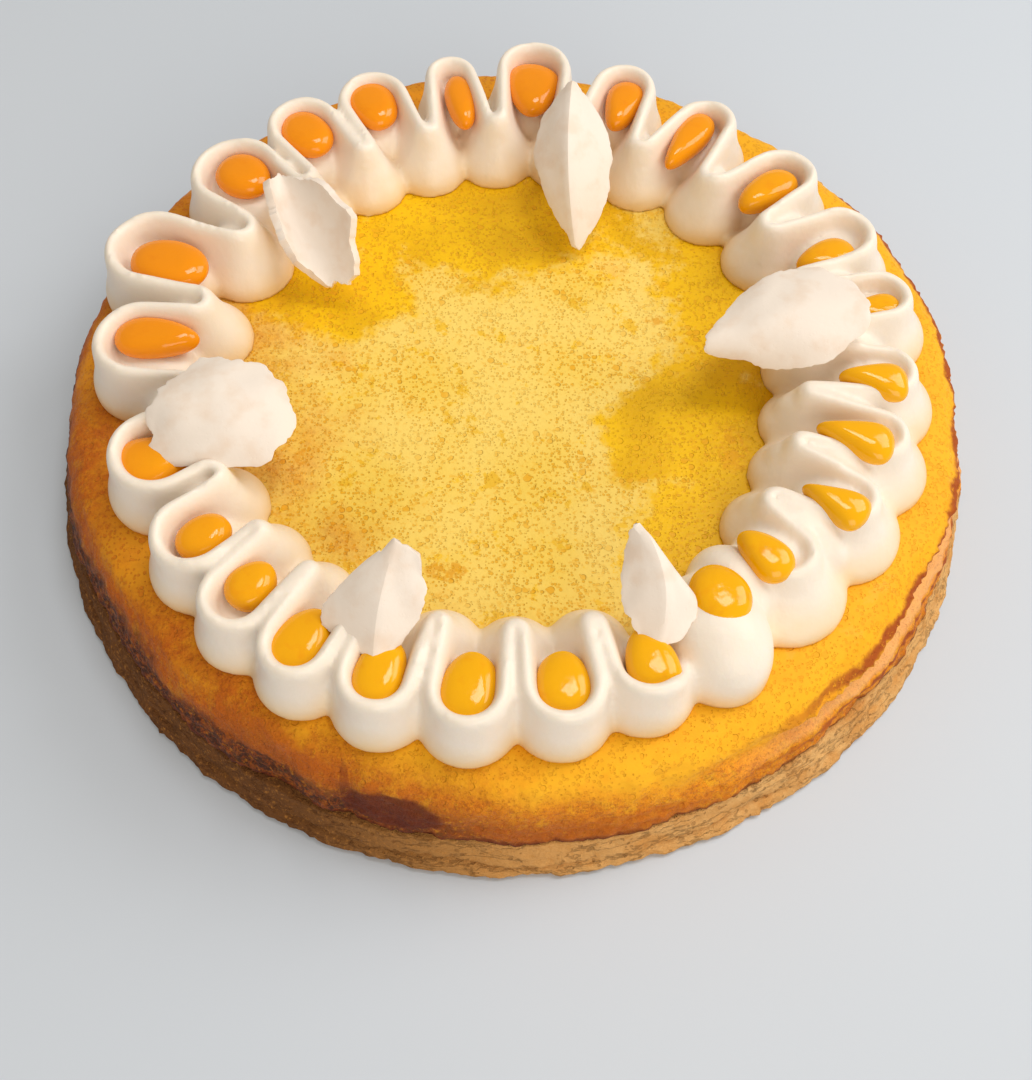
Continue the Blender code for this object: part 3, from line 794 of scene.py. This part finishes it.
@dataclass
class CrumbBase:
    """The pressed crumb layer under the filling, with crags and a ragged crack low on the front."""

    setback: float = 0.0042
    flat_radius: float = 0.104
    crags: tuple[Ripple, ...] = (
        Ripple(0.0105, 0.0008), Ripple(0.0022, 0.0005, 3.0), Ripple(0.0009, 0.0004, 7.0),
    )
    crack_height: float = 0.0042
    crack_half: float = 0.00055
    crack_depth: float = 0.0019
    crack_wander: Ripple = Ripple(0.02, 0.0022, 5.0)
    crack_gaps: Ripple = Ripple(0.012, 1.0, 9.0)

    def push(self, bearings: np.ndarray, radii: np.ndarray, heights: np.ndarray) -> np.ndarray:
        """Gives the outward shift of the base's side."""
        if radii[0] < 0.100:
            return np.zeros_like(radii)
        shift = sum(crag.along(bearings, radii, heights) for crag in self.crags) - left_dent(bearings)
        line = self.crack_height + self.crack_wander.along(bearings, radii * 0 + 0.11, heights * 0)
        broken = smooth_step(-0.25, 0.15, self.crack_gaps.along(bearings, radii, heights * 0))
        deep = bell(heights - line, self.crack_half) * self.crack_depth
        return shift - deep * around(bearings, 285, 60, 95) * broken

    def build(self, finish: CrumbFinish) -> Piece:
        """Makes and dresses the base."""
        foot, flat = FOOT_RADIUS, self.flat_radius
        corners = [(0.03, BASE_TOP - 0.0001), (flat, BASE_TOP - 0.0001),
                   (foot - self.setback, BASE_TOP - 0.0002), (foot - self.setback * 0.55, BASE_TOP * 0.55),
                   (foot - 0.0002, BASE_TOP * 0.12), (foot - 0.0010, 0.0002), (flat, 0.0001), (0.03, 0.0001)]
        outline = corners[:2] + fill_outline(corners[1:7], 0.0005)[1:] + corners[7:]
        outline = [p for k, p in enumerate(outline) if k < 2 or p[0] > 0.108 or p in corners]
        return dress(TurnedSide("base_layer", outline, 720).build(self.push), finish.material())


@dataclass
class BakedFilling:
    """The baked filling, with rounded shoulders, a seam on the right and a crease low on the left front."""

    corners: tuple = (
        (0.0046, BASE_TOP + 0.0003), (0.0050, 0.0135), (0.0059, 0.0175), (0.0071, 0.0215), (0.0087, 0.0252),
        (0.0110, 0.0281), (0.0152, 0.0296), (0.0200, CAKE_TOP),
    )
    sag: tuple = ((0.010, 0.0009), (0.030, 0.0006), (0.050, 0.0001), (0.070, 0.0001), (0.086, 0.00005))
    swells: tuple[Ripple, ...] = (Ripple(0.016, 0.0014), Ripple(0.0045, 0.0006, 2.0))
    seam_height: float = 0.0256
    seam_wander: Ripple = Ripple(0.03, 0.0016, 6.0)
    seam_rough: Ripple = Ripple(0.0012, 0.9, 8.0)
    creases: tuple = ((253, 0.9, 0.0008), (244, 4.0, 0.0012))
    crease_heights: tuple[float, float] = (0.0285, 0.024)

    def push(self, bearings: np.ndarray, radii: np.ndarray, heights: np.ndarray) -> np.ndarray:
        """Gives the outward shift of the filling's side."""
        if radii[0] < 0.096:
            return np.zeros_like(radii)
        grip = float(smooth_step(0.096, 0.104, radii[:1])[0])
        low = float(smooth_step(0.022, 0.014, heights[:1])[0])
        crumbly = Ripple(0.0016, 0.0003 + 0.0005 * low, 4.0)
        shift = sum(swell.along(bearings, radii, heights) for swell in (*self.swells, crumbly))
        above = heights - self.seam_height - self.seam_wander.along(bearings, radii * 0 + 0.1, heights * 0)
        ridge = bell(above, 0.0011) * 0.0010 * (1 + self.seam_rough.along(bearings, radii, heights))
        groove = bell(above + 0.0042, 0.0022) * 0.0019
        shift += (ridge - groove) * around(bearings, 352, 40, 70) - left_dent(bearings)
        for bearing, width, depth in self.creases:
            below = float(smooth_step(*self.crease_heights, heights[:1])[0])
            shift -= bell(bearing_gap(bearings, bearing), width) * depth * below
        return shift * grip

    def build(self, finish: FillingFinish) -> Piece:
        """Makes and dresses the filling."""
        side = [(FOOT_RADIUS - setback, height) for setback, height in reversed(self.corners)]
        top = [(radius, CAKE_TOP - depth) for radius, depth in self.sag]
        foot = BASE_TOP + 0.0003
        outline = top + self.rounded(side, 56) + [(0.100, foot), (0.05, foot)]
        return dress(TurnedSide("filling_layer", outline, 640).build(self.push), finish.material())

    def rounded(self, corners: Sequence[tuple[float, float]], count: int) -> list[tuple[float, float]]:
        """Runs a smooth curve through the outline's corners.

        Args:
            corners: The outline's points.
            count: How many points the curve gets.

        Returns:
            The curve's points, evenly spread.
        """
        data = np.array(corners)
        along = np.concatenate([[0], np.cumsum(np.hypot(*np.diff(data, axis=0).T))])
        slopes = np.gradient(data, along, axis=0)
        places = []
        for s in np.linspace(0, along[-1], count):
            k = min(int(np.searchsorted(along, s, side="right")) - 1, len(along) - 2)
            span = along[k + 1] - along[k]
            t = (s - along[k]) / span
            h0, h1 = (1 + 2 * t) * (1 - t) ** 2, t * (1 - t) ** 2
            h2, h3 = t * t * (3 - 2 * t), t * t * (t - 1)
            spot = h0 * data[k] + h1 * span * slopes[k] + h2 * data[k + 1] + h3 * span * slopes[k + 1]
            places.append((float(spot[0]), float(spot[1])))
        return places


@dataclass(frozen=True)
class Loop:
    """One outward loop of the ribbon, and the inward bend that follows it."""

    bearing: float
    reach: float
    slope: float = 0.0046
    roundness: float = 0.36
    crest: float = 0.0162
    inner: float = 0.0690
    fill: float = 0.0120


@dataclass(frozen=True)
class Bend:
    """A round bend of the ribbon's centre line: its middle, its radius and its bearing round the ring."""

    middle: Vector
    radius: float
    bearing: float


@dataclass
class CreamRuffle:
    """The ribbon of cream piped in loops round the ring, the mound where it ends and its fillings."""

    loops: tuple[Loop, ...] = (
        Loop(317, 0.0945, 0.0110, 0.24, 0.0150, 0.0655, 0.0146),
        Loop(331, 0.0965, 0.0090, 0.25, 0.0152, 0.0650, 0.0146),
        Loop(343.5, 0.098, 0.0090, 0.26, 0.0156, 0.0645, 0.0146),
        Loop(355.5, 0.0988, 0.0085, 0.28, 0.0158, 0.0655, 0.0144),
        Loop(10, 0.1012, 0.0078, 0.29, 0.0160, 0.0680, 0.0138),
        Loop(23.5, 0.101, 0.0075, 0.30, 0.0160, 0.0690, 0.0130),
        Loop(39, 0.100, 0.0065, 0.27), Loop(56, 0.100, 0.0060, 0.25), Loop(71.5, 0.101, 0.0046, 0.28),
        Loop(87, 0.104, 0.0046, 0.36, 0.0172), Loop(101, 0.100, 0.0046, 0.24), Loop(115, 0.100),
        Loop(128, 0.100), Loop(143, 0.101), Loop(163, 0.104, 0.0046, 0.33), Loop(181, 0.098, 0.0046, 0.29),
        Loop(202.5, 0.0955, 0.0046, 0.30), Loop(218.5, 0.095, 0.0046, 0.33), Loop(230.5, 0.0965),
        Loop(241.5, 0.0972, 0.0042), Loop(253, 0.097, 0.0042), Loop(265, 0.0965, 0.0040),
        Loop(277.5, 0.0955, 0.0040), Loop(289.5, 0.0942, 0.0042),
    )
    mounds: tuple = ((301.5, 0.0805, (0.0146, 0.0118, 0.0162)), (309, 0.074, (0.0105, 0.0085, 0.0140)))
    flank: tuple = (
        (-0.06, 1.0), (0.05, 1.0), (0.13, 0.97), (0.22, 0.84), (0.34, 0.58), (0.48, 0.36), (0.63, 0.19),
        (0.78, 0.08), (0.89, 0.0), (0.95, -0.25), (0.985, -0.6),
    )
    outer_pitch_radius: float = 0.0845
    inner_pitch_radius: float = 0.073
    inner_roundness: float = 0.21
    inner_slope: float = 0.0062
    wall_half: float = 0.0015
    foot_half: float = 0.0052
    lean: float = math.tan(math.radians(8))
    start_turn: float = 140.0
    end_turn: float = 96.0
    end_length: float = 0.0075
    end_share: float = 0.58
    wave_size: float = 0.012
    wave_reach: float = 0.0011
    spacing: float = 0.0008
    voxel: float = 0.0008

    def gaps(self) -> list[float]:
        """Gives the turn from each loop to the next, in degrees."""
        return [(b.bearing - a.bearing) % 360 for a, b in zip(self.loops, self.loops[1:])]

    def outer_bends(self) -> list[Bend]:
        """Lays out the round outer end of each loop."""
        gaps = self.gaps()
        made = []
        for i, loop in enumerate(self.loops):
            near = gaps[max(0, i - 1):i + 1]
            pitch = math.radians(sum(near) / len(near)) * self.outer_pitch_radius
            radius = loop.roundness * pitch
            spot = RING_CENTRE + polar(loop.bearing, loop.reach - loop.slope - radius)
            made.append(Bend(spot, radius, loop.bearing))
        return made

    def inner_bends(self) -> list[Bend]:
        """Lays out the round inner end between each loop and the next."""
        made = []
        for loop, gap in zip(self.loops, self.gaps()):
            radius = self.inner_roundness * math.radians(gap) * self.inner_pitch_radius
            bearing = loop.bearing + gap / 2
            made.append(Bend(RING_CENTRE + polar(bearing, loop.inner + radius), radius, bearing))
        return made

    def crossing(self, first: Bend, last: Bend, turn: int) -> tuple[float, float]:
        """Finds where a straight run leaves one bend and joins the next, which curves the other way.

        Args:
            first: The bend that the run leaves.
            last: The bend that it joins.
            turn: 1 when the first bend is an outer one, else -1.

        Returns:
            The angle on the first bend and the angle on the last.
        """
        away = last.middle - first.middle
        lean = math.acos(min(1.0, (first.radius + last.radius) / away.length))
        angle = math.atan2(away.y, away.x) - turn * lean
        return angle, angle + math.pi

    def arc(self, bend: Bend, start: float, end: float, centre: float, turn: int) -> list[Vector]:
        """Walks round a bend.

        Args:
            bend: The bend.
            start: The angle it is joined at.
            end: The angle it is left at.
            centre: An angle that the walk passes.
            turn: 1 for a walk towards larger angles, -1 for the other way.

        Returns:
            The points walked.
        """
        first = centre - ((centre - start) * turn % (2 * math.pi)) * turn
        last = centre + ((end - centre) * turn % (2 * math.pi)) * turn
        count = max(4, math.ceil(abs(last - first) * bend.radius / self.spacing))
        angles = [first + (last - first) * k / count for k in range(count + 1)]
        return [bend.middle + Vector((math.cos(a), math.sin(a))) * bend.radius for a in angles]

    def centre_line(self) -> list[Vector]:
        """Joins the bends into the ribbon's centre line, from where the piping starts to where it ends."""
        outer, inner = self.outer_bends(), self.inner_bends()
        line: list[Vector] = []
        start = math.radians(outer[0].bearing - self.start_turn)
        for i, bend in enumerate(outer):
            middle = math.radians(bend.bearing)
            if i == len(outer) - 1:
                line += self.arc(bend, start, middle + math.radians(self.end_turn), middle, 1)
                break
            leave, join = self.crossing(bend, inner[i], 1)
            line += self.arc(bend, start, leave, middle, 1)
            depart, start = self.crossing(inner[i], outer[i + 1], -1)
            line += self.arc(inner[i], join, depart, math.radians(inner[i].bearing) + math.pi, -1)
        evened = [line[0]]
        for spot in line[1:]:
            while (spot - evened[-1]).length > self.spacing:
                evened.append(evened[-1] + (spot - evened[-1]).normalized() * self.spacing)
        return evened

    def path(self) -> list[tuple[Vector, float, float, float]]:
        """Lays out the ribbon's centre line.

        Returns:
            For each point its place, how far out it is from 0 to 1, its outer slope and its crest height.
        """
        bearings = np.cumsum([self.loops[0].bearing, *self.gaps()])
        places = []
        for spot in self.centre_line():
            local = spot - RING_CENTRE
            turn = math.degrees(math.atan2(local.y, local.x))
            turn = bearings[0] - 13 + (turn - bearings[0] + 13) % 360
            slope = float(np.interp(turn, bearings, [loop.slope for loop in self.loops]))
            crest = float(np.interp(turn, bearings, [loop.crest for loop in self.loops]))
            apex = float(np.interp(turn, bearings, [loop.reach - loop.slope for loop in self.loops]))
            inner = float(np.interp(turn, bearings, [loop.inner for loop in self.loops]))
            out = (local.length - inner) / (apex - inner)
            places.append((spot, min(1.0, max(0.0, out)), slope, crest))
        return places

    def section(self, left: float, right: float, crest: float) -> list[tuple[float, float]]:
        """Gives the ribbon's cross-section, thick at the foot and thin at the crest.

        Args:
            left: How far the foot reaches on the ribbon's left.
            right: How far it reaches on the right.
            crest: The ribbon's height.

        Returns:
            Points of sideways offset, right being positive, and height.
        """
        wall = self.wall_half
        flanks = [
            [(wall + (reach - wall) * f if f >= 0 else wall * (1 + f), crest * h) for h, f in self.flank]
            for reach in (right, left)
        ]
        return flanks[0] + [(0.0, crest)] + [(-offset, height) for offset, height in flanks[1]][::-1]

    def ribbon(self) -> Piece:
        """Sweeps the section along the loops, with both ends closed."""
        places = self.path()
        points, faces, size = [], [], 0
        for i, (spot, out, slope, crest) in enumerate(places):
            ahead, behind = places[min(i + 2, len(places) - 1)][0], places[max(i - 2, 0)][0]
            run = (ahead - behind).normalized()
            side = Vector((run.y, -run.x))
            right = self.foot_half + (slope - self.foot_half) * out
            left = self.inner_slope + (self.foot_half - self.inner_slope) * out
            tall = crest + noise.noise(Vector((spot.x, spot.y, 0.3)) / self.wave_size) * self.wave_reach
            left_over = min(1.0, (len(places) - 1 - i) * self.spacing / self.end_length)
            tall *= self.end_share + (1 - self.end_share) * left_over
            outline = self.section(left, right, tall)
            size = len(outline)
            for offset, height in outline:
                place = spot + side * (offset + self.lean * (1 - out) * height)
                points.append((place.x, place.y, CAKE_TOP + CREAM_GAP + height))
        for i in range(len(places) - 1):
            here, there = i * size, (i + 1) * size
            for k in range(size):
                n = (k + 1) % size
                faces.append((here + k, there + k, there + n, here + n))
        last = (len(places) - 1) * size
        faces += [tuple(range(size)), tuple(reversed(range(last, last + size)))]
        return mesh_object("ribbon_sweep", points, faces)

    def lump(self, bearing: float, distance: float, half: Sequence[float]) -> Piece:
        """Makes a stretched ball of cream on the cake's top.

        Args:
            bearing: Its bearing round the ring.
            distance: Its distance from the ring's centre.
            half: Its half sizes along the bearing, across it and up.

        Returns:
            The lump's object.
        """
        shape = bmesh.new()
        bmesh.ops.create_uvsphere(shape, u_segments=32, v_segments=16, radius=1.0)
        for vertex in shape.verts:
            vertex.co.z = math.copysign(abs(vertex.co.z) ** 0.7, vertex.co.z)
        bmesh.ops.scale(shape, vec=half, verts=shape.verts)
        made = finished("cream_lump", shape)
        spot = RING_CENTRE + polar(bearing, distance)
        turn = Matrix.Rotation(math.radians(bearing), 4, "Z")
        made.data.transform(Matrix.Translation((spot.x, spot.y, CAKE_TOP + CREAM_GAP)) @ turn)
        return made

    def fills(self) -> list[Piece]:
        """Makes the mound where the piping ends and the cream inside the loops' hollows."""
        made = [self.lump(*mound) for mound in self.mounds]
        for loop, bend in zip(self.loops, self.outer_bends()):
            wide = min(1.0, max(0.0, (loop.slope - 0.0065) / 0.0020))
            distance = (bend.middle - RING_CENTRE).length - 0.001
            half = (bend.radius + 0.0035 + 0.0030 * wide, bend.radius + 0.0005 + 0.0015 * wide,
                    0.0100 + 0.0036 * wide)
            made.append(self.lump(loop.bearing, distance, half))
        for loop, bend in zip(self.loops, self.inner_bends()):
            solid = (loop.fill - 0.0120) / 0.0026
            half = (0.0080 + 0.0055 * solid, bend.radius + 0.0008 + 0.0018 * solid, loop.fill)
            middle = (bend.middle - RING_CENTRE).length + 0.0020 + 0.0040 * solid
            made.append(self.lump(bend.bearing, middle, half))
        return made

    def build(self, finish: CreamFinish) -> Piece:
        """Fuses and dresses the ruffle."""
        sources = [self.ribbon(), *self.fills()]
        shape = bmesh.new()
        for source in sources:
            shape.from_mesh(source.data)
            bpy.data.objects.remove(source)
        bmesh.ops.recalc_face_normals(shape, faces=shape.faces)
        made = finished("cream_folds", shape)
        fuse = made.modifiers.new("Fuse", "REMESH")
        fuse.mode = "VOXEL"
        fuse.voxel_size = self.voxel
        soften = made.modifiers.new("Soften", "SMOOTH")
        soften.factor = 0.5
        soften.iterations = 10
        apply_modifiers(made)
        floor = CAKE_TOP + 0.0001
        for vertex in made.data.vertices:
            vertex.co.z = max(vertex.co.z, floor)
        return dress(made, finish.material())


class DropShape(Enum):
    """How a curd drop is drawn: filling its loop evenly, or tapering to a tail towards the cake's middle."""

    POOL = 0.10
    EGG = 0.30
    TEAR = 0.62


@dataclass(frozen=True)
class CurdDrop:
    """One drop of curd: its bearing, distance from the ring's centre, half length, half width and shape."""

    bearing: float
    distance: float
    along: float
    across: float
    shape: DropShape = DropShape.POOL
    top: float = 0.0450
    depth: float = 0.0064
    fullness: float = 0.6
    narrowest: float = 0.16
    wobble: float = 0.10

    def build(self, number: int, material: Material) -> Piece:
        """Makes and dresses the drop."""
        shape = bmesh.new()
        bmesh.ops.create_uvsphere(shape, u_segments=40, v_segments=24, radius=1.0)
        for vertex in shape.verts:
            x, y, z = vertex.co
            level = max(math.hypot(x, y), 1e-6)
            full = level ** self.fullness / level
            x, y = x * full, y * full
            wide = max(self.narrowest, 1 + self.shape.value * (x - 0.45 * (1 - x * x)))
            wobble = 1 + noise.noise(Vector((x * 0.9 + number * 3.1, y * 0.9, 0.5))) * self.wobble
            vertex.co = Vector((x * self.along * wobble, y * self.across * wide * wobble, z * self.depth / 2))
        made = finished(f"curd_{number:02d}", shape)
        spot = RING_CENTRE + polar(self.bearing, self.distance)
        middle = Matrix.Translation((spot.x, spot.y, self.top - self.depth / 2))
        made.data.transform(middle @ Matrix.Rotation(math.radians(self.bearing), 4, "Z"))
        return dress(made, material)


@dataclass
class CurdDrops:
    """All the drops of curd round the ring."""

    drops: tuple[CurdDrop, ...] = (
        CurdDrop(8.5, 0.086, 0.0066, 0.0048, DropShape.EGG),
        CurdDrop(21, 0.081, 0.0076, 0.0054, DropShape.EGG),
        CurdDrop(39, 0.081, 0.0090, 0.0052, DropShape.EGG),
        CurdDrop(57, 0.082, 0.0105, 0.0048, DropShape.EGG),
        CurdDrop(71, 0.086, 0.0086, 0.0053, DropShape.EGG),
        CurdDrop(87, 0.087, 0.0094, 0.0076, DropShape.EGG),
        CurdDrop(100, 0.083, 0.0094, 0.0041), CurdDrop(115, 0.088, 0.0080, 0.0065),
        CurdDrop(128, 0.087, 0.0078, 0.0067), CurdDrop(142, 0.086, 0.0070, 0.0067),
        CurdDrop(164, 0.085, 0.0098, 0.0074), CurdDrop(179, 0.081, 0.0098, 0.0058, DropShape.EGG),
        CurdDrop(203, 0.0828, 0.0084, 0.0070, DropShape.EGG), CurdDrop(219, 0.081, 0.0062, 0.0051),
        CurdDrop(230, 0.081, 0.0058, 0.0051), CurdDrop(241.5, 0.0850, 0.0080, 0.0062),
        CurdDrop(253, 0.0848, 0.0080, 0.0056), CurdDrop(265, 0.0845, 0.0084, 0.0062),
        CurdDrop(277.5, 0.0838, 0.0074, 0.0058), CurdDrop(290, 0.0828, 0.0072, 0.0055),
        CurdDrop(303.5, 0.0768, 0.0072, 0.0064, top=0.0474),
        CurdDrop(314, 0.0755, 0.0066, 0.0050, DropShape.EGG, 0.0470),
        CurdDrop(328.5, 0.0800, 0.0074, 0.0048, DropShape.TEAR, 0.0474),
        CurdDrop(341.5, 0.0790, 0.0086, 0.0052, DropShape.TEAR, 0.0475),
        CurdDrop(353.5, 0.0815, 0.0078, 0.0050, DropShape.TEAR, 0.0475),
    )

    def build(self, finish: CurdFinish) -> list[Piece]:
        """Makes and dresses every drop."""
        material = finish.material()
        return [drop.build(number, material) for number, drop in enumerate(self.drops, 1)]


class Fold(Enum):
    """How a shard bends across its width: in a soft curve, or along a sharp spine."""

    SOFT = 0.0
    SPINE = 0.9


Row = tuple[tuple[float, float, float], tuple[float, float, float], tuple[float, float, float]]


@dataclass(frozen=True)
class Shard:
    """One thin curved piece of meringue, from a cage of an edge, a spine and an edge, in millimetres."""

    node: str
    edge: Row
    spine: Row
    far_edge: Row
    fold: Fold
    rounded: float = 0.16
    ragged: float = 1.0
    thickness: float = 0.0019
    edge_width: float = 0.00035
    dent: float = 0.0007
    cells: tuple[int, int] = (44, 30)
    tears: tuple = ((2.4, 2.0, 0.0, 0.11), (8.0, 6.0, 2.0, 0.045), (22.0, 17.0, 4.0, 0.02))

    def surface(self, u: float, v: float) -> Vector:
        """Gives the smooth sheet's point at the shares u along and v across, each -1 to 1."""
        along = (u * (u - 1) / 2, 1 - u * u, u * (u + 1) / 2)
        soft = (v * (v - 1) / 2, 1 - v * v, v * (v + 1) / 2)
        bent = (max(-v, 0.0), 1 - abs(v), max(v, 0.0))
        share = self.fold.value
        across = [a * (1 - share) + b * share for a, b in zip(soft, bent)]
        spot = Vector((0.0, 0.0, 0.0))
        for weight, row in zip(across, (self.edge, self.spine, self.far_edge)):
            for part, point in zip(along, row):
                spot += Vector(point) * (weight * part * 0.001)
        return spot

    def build(self, material: Material) -> Piece:
        """Makes and dresses the shard."""
        shape = bmesh.new()
        bmesh.ops.create_grid(shape, x_segments=self.cells[0], y_segments=self.cells[1], size=1.0)
        seed = Vector(self.spine[0]) * 0.21
        for vertex in shape.verts:
            u, v = vertex.co.x, vertex.co.y
            rim = max(abs(u), abs(v)) ** 6
            broken = sum(
                noise.noise(seed + Vector((u * a, v * b, c))) * reach for a, b, c, reach in self.tears)
            swell = 1 + broken * rim * self.ragged
            across, over = 1 - self.rounded * v * v, 1 - self.rounded * u * u
            spot = self.surface(u * across * swell, v * over * swell)
            dent = noise.noise(seed + Vector((u * 1.7, v * 1.7, 6.0))) * self.dent
            vertex.co = spot + Vector((0, 0, dent))
        bmesh.ops.recalc_face_normals(shape, faces=shape.faces)
        made = finished("shard_" + self.node, shape)
        thick = made.modifiers.new("Thickness", "SOLIDIFY")
        thick.thickness = self.thickness
        thick.offset = 0.0
        edge = made.modifiers.new("Edge", "BEVEL")
        edge.width = self.edge_width
        edge.segments = 2
        apply_modifiers(made)
        return dress(made, material)


@dataclass
class MeringueShards:
    """The shards of meringue stuck into the ruffle."""

    shards: tuple[Shard, ...] = (
        Shard("meringue_back", ((8, 66, 48), (6, 52, 45), (12, 39, 36)),
              ((14, 68, 56), (13, 47, 51), (15.5, 35, 34)), ((18, 68, 50), (24, 54, 44), (20, 39, 34)),
              Fold.SPINE),
        Shard("meringue_left_back", ((-61, 41, 50), (-57, 28, 48), (-53, 19, 42)),
              ((-57, 44, 46), (-51, 31, 42), (-44, 18, 36)), ((-51, 41, 52), (-39, 28, 50), (-36, 16, 39)),
              Fold.SOFT),
        Shard("meringue_left", ((-78, -29, 47), (-75, -37, 44), (-70, -39, 43)),
              ((-75, -24, 49), (-62, -30, 51), (-52, -38, 45)),
              ((-69, -14, 48), (-54, -18, 49), (-46, -28, 46)),
              Fold.SOFT, 0.12, 1.3),
        Shard("meringue_front", ((-23.5, -66.5, 56), (-36, -74, 46), (-29, -80.5, 43)),
              ((-21.5, -65.5, 58), (-24.5, -75, 52), (-26, -84, 43)),
              ((-17, -67, 56.5), (-16.5, -74, 49.5), (-21.5, -80.5, 43.5)), Fold.SPINE, 0.10),
        Shard("meringue_front_right", ((23, -63, 54), (23, -72, 47), (26, -78, 43)),
              ((24, -61, 59), (30, -70, 53), (29.5, -81, 42)),
              ((26.5, -66, 55), (36.5, -72, 46.5), (33, -79, 43)),
              Fold.SPINE),
        Shard("meringue_right", ((42, -7, 44), (58, -10, 44), (73, -12, 45)),
              ((45, -4, 47), (60, -2, 51), (80, -1, 50)), ((52, 8, 46), (66, 14, 48), (79, 11, 48)),
              Fold.SOFT, 0.16, 0.8),
    )

    def build(self, finish: MeringueFinish) -> dict[str, Piece]:
        """Makes every shard.

        Args:
            finish: The meringue's finish.

        Returns:
            Each shard's object by the node it stands for.
        """
        material = finish.material()
        return {shard.node: shard.build(material) for shard in self.shards}


@dataclass
class Studio:
    """The pale floor, the soft lights and the camera."""

    eye: tuple[float, float, float] = (0.0, -0.179798, 0.258051)
    forward: tuple[float, float, float] = (0.005866, 0.498449, -0.866899)
    upward: tuple[float, float, float] = (-0.015284, 0.866857, 0.498322)
    lens: float = 40.0
    floor_half: float = 3.0
    aim: tuple[float, float, float] = (0.0, 0.0, 0.02)

    def floor(self) -> None:
        """Lays the floor."""
        half = self.floor_half
        corners = [(-half, -half, 0), (half, -half, 0), (half, half, 0), (-half, half, 0)]
        made = mesh_object("floor", corners, [(0, 1, 2, 3)])
        material, graph, shader = fresh_material("pale_floor", {"Roughness": 0.6})
        tone = graph.blend(graph.cloud(graph.place(), 3.0), srgb(198, 208, 222), srgb(206, 214, 226))
        graph.feed(shader.inputs["Base Color"], tone)
        made.data.materials.append(material)

    def light(self, name: str, place: Sequence[float], size: float, power: float, tint: Colour) -> None:
        """Hangs a square soft light that faces the cake."""
        data = bpy.data.lights.new(name, "AREA")
        data.size = size
        data.energy = power
        data.color = tint
        made = bpy.data.objects.new(name, data)
        bpy.context.scene.collection.objects.link(made)
        made.location = place
        made.rotation_euler = (Vector(self.aim) - Vector(place)).to_track_quat("-Z", "Y").to_euler()

    def build(self) -> None:
        """Sets the stage."""
        self.floor()
        self.light("window_light", (0.90, 0.35, 0.85), 0.7, 6.7, (1.0, 0.975, 0.93))
        self.light("top_light", (0.30, 0.25, 1.25), 0.42, 4.5, (1.0, 0.975, 0.93))
        self.light("front_light", (0.42, -1.12, 0.6), 0.9, 6.8, (1.0, 0.94, 0.85))
        world = bpy.data.worlds.new("pale_room")
        world.use_nodes = True
        world.node_tree.nodes["Background"].inputs["Color"].default_value = (0.97, 0.88, 0.74, 1.0)
        world.node_tree.nodes["Background"].inputs["Strength"].default_value = 0.45
        bpy.context.scene.world = world
        bpy.context.scene.view_settings.view_transform = "Standard"
        data = bpy.data.cameras.new("camera")
        data.lens = self.lens
        data.sensor_width = 36.0
        data.clip_start = 0.01
        camera = bpy.data.objects.new("camera", data)
        bpy.context.scene.collection.objects.link(camera)
        back, up = -Vector(self.forward), Vector(self.upward)
        placed = Matrix((up.cross(back), up, back)).transposed().to_4x4()
        placed.translation = Vector(self.eye)
        camera.matrix_world = placed
        bpy.context.scene.camera = camera


def put(piece: Piece, node: str) -> None:
    """Makes a piece ride with the cake and stand for its node.

    Args:
        piece: The dressed piece.
        node: The node it replaces.
    """
    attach(piece, "root")
    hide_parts(node)
    LOG.info("%s stands for %s with %d faces", piece.name, node, len(piece.data.polygons))


def main() -> None:
    """Builds every piece in order, then the stage."""
    logging.basicConfig(level=logging.INFO, format="%(name)s: %(message)s")
    pores, patches = pore_group(), patch_group()
    put(CrumbBase().build(CrumbFinish(pores=pores)), "crumb_base")
    put(BakedFilling().build(FillingFinish(pores=pores, patches=patches)), "baked_filling")
    put(CreamRuffle().build(CreamFinish()), "cream_ruffle")
    for number, drop in enumerate(CurdDrops().build(CurdFinish()), 1):
        put(drop, f"curd_drop_{number:02d}")
    for node, shard in MeringueShards().build(MeringueFinish(pores=pores)).items():
        put(shard, node)
    Studio().build()


if __name__ == "__main__":
    main()
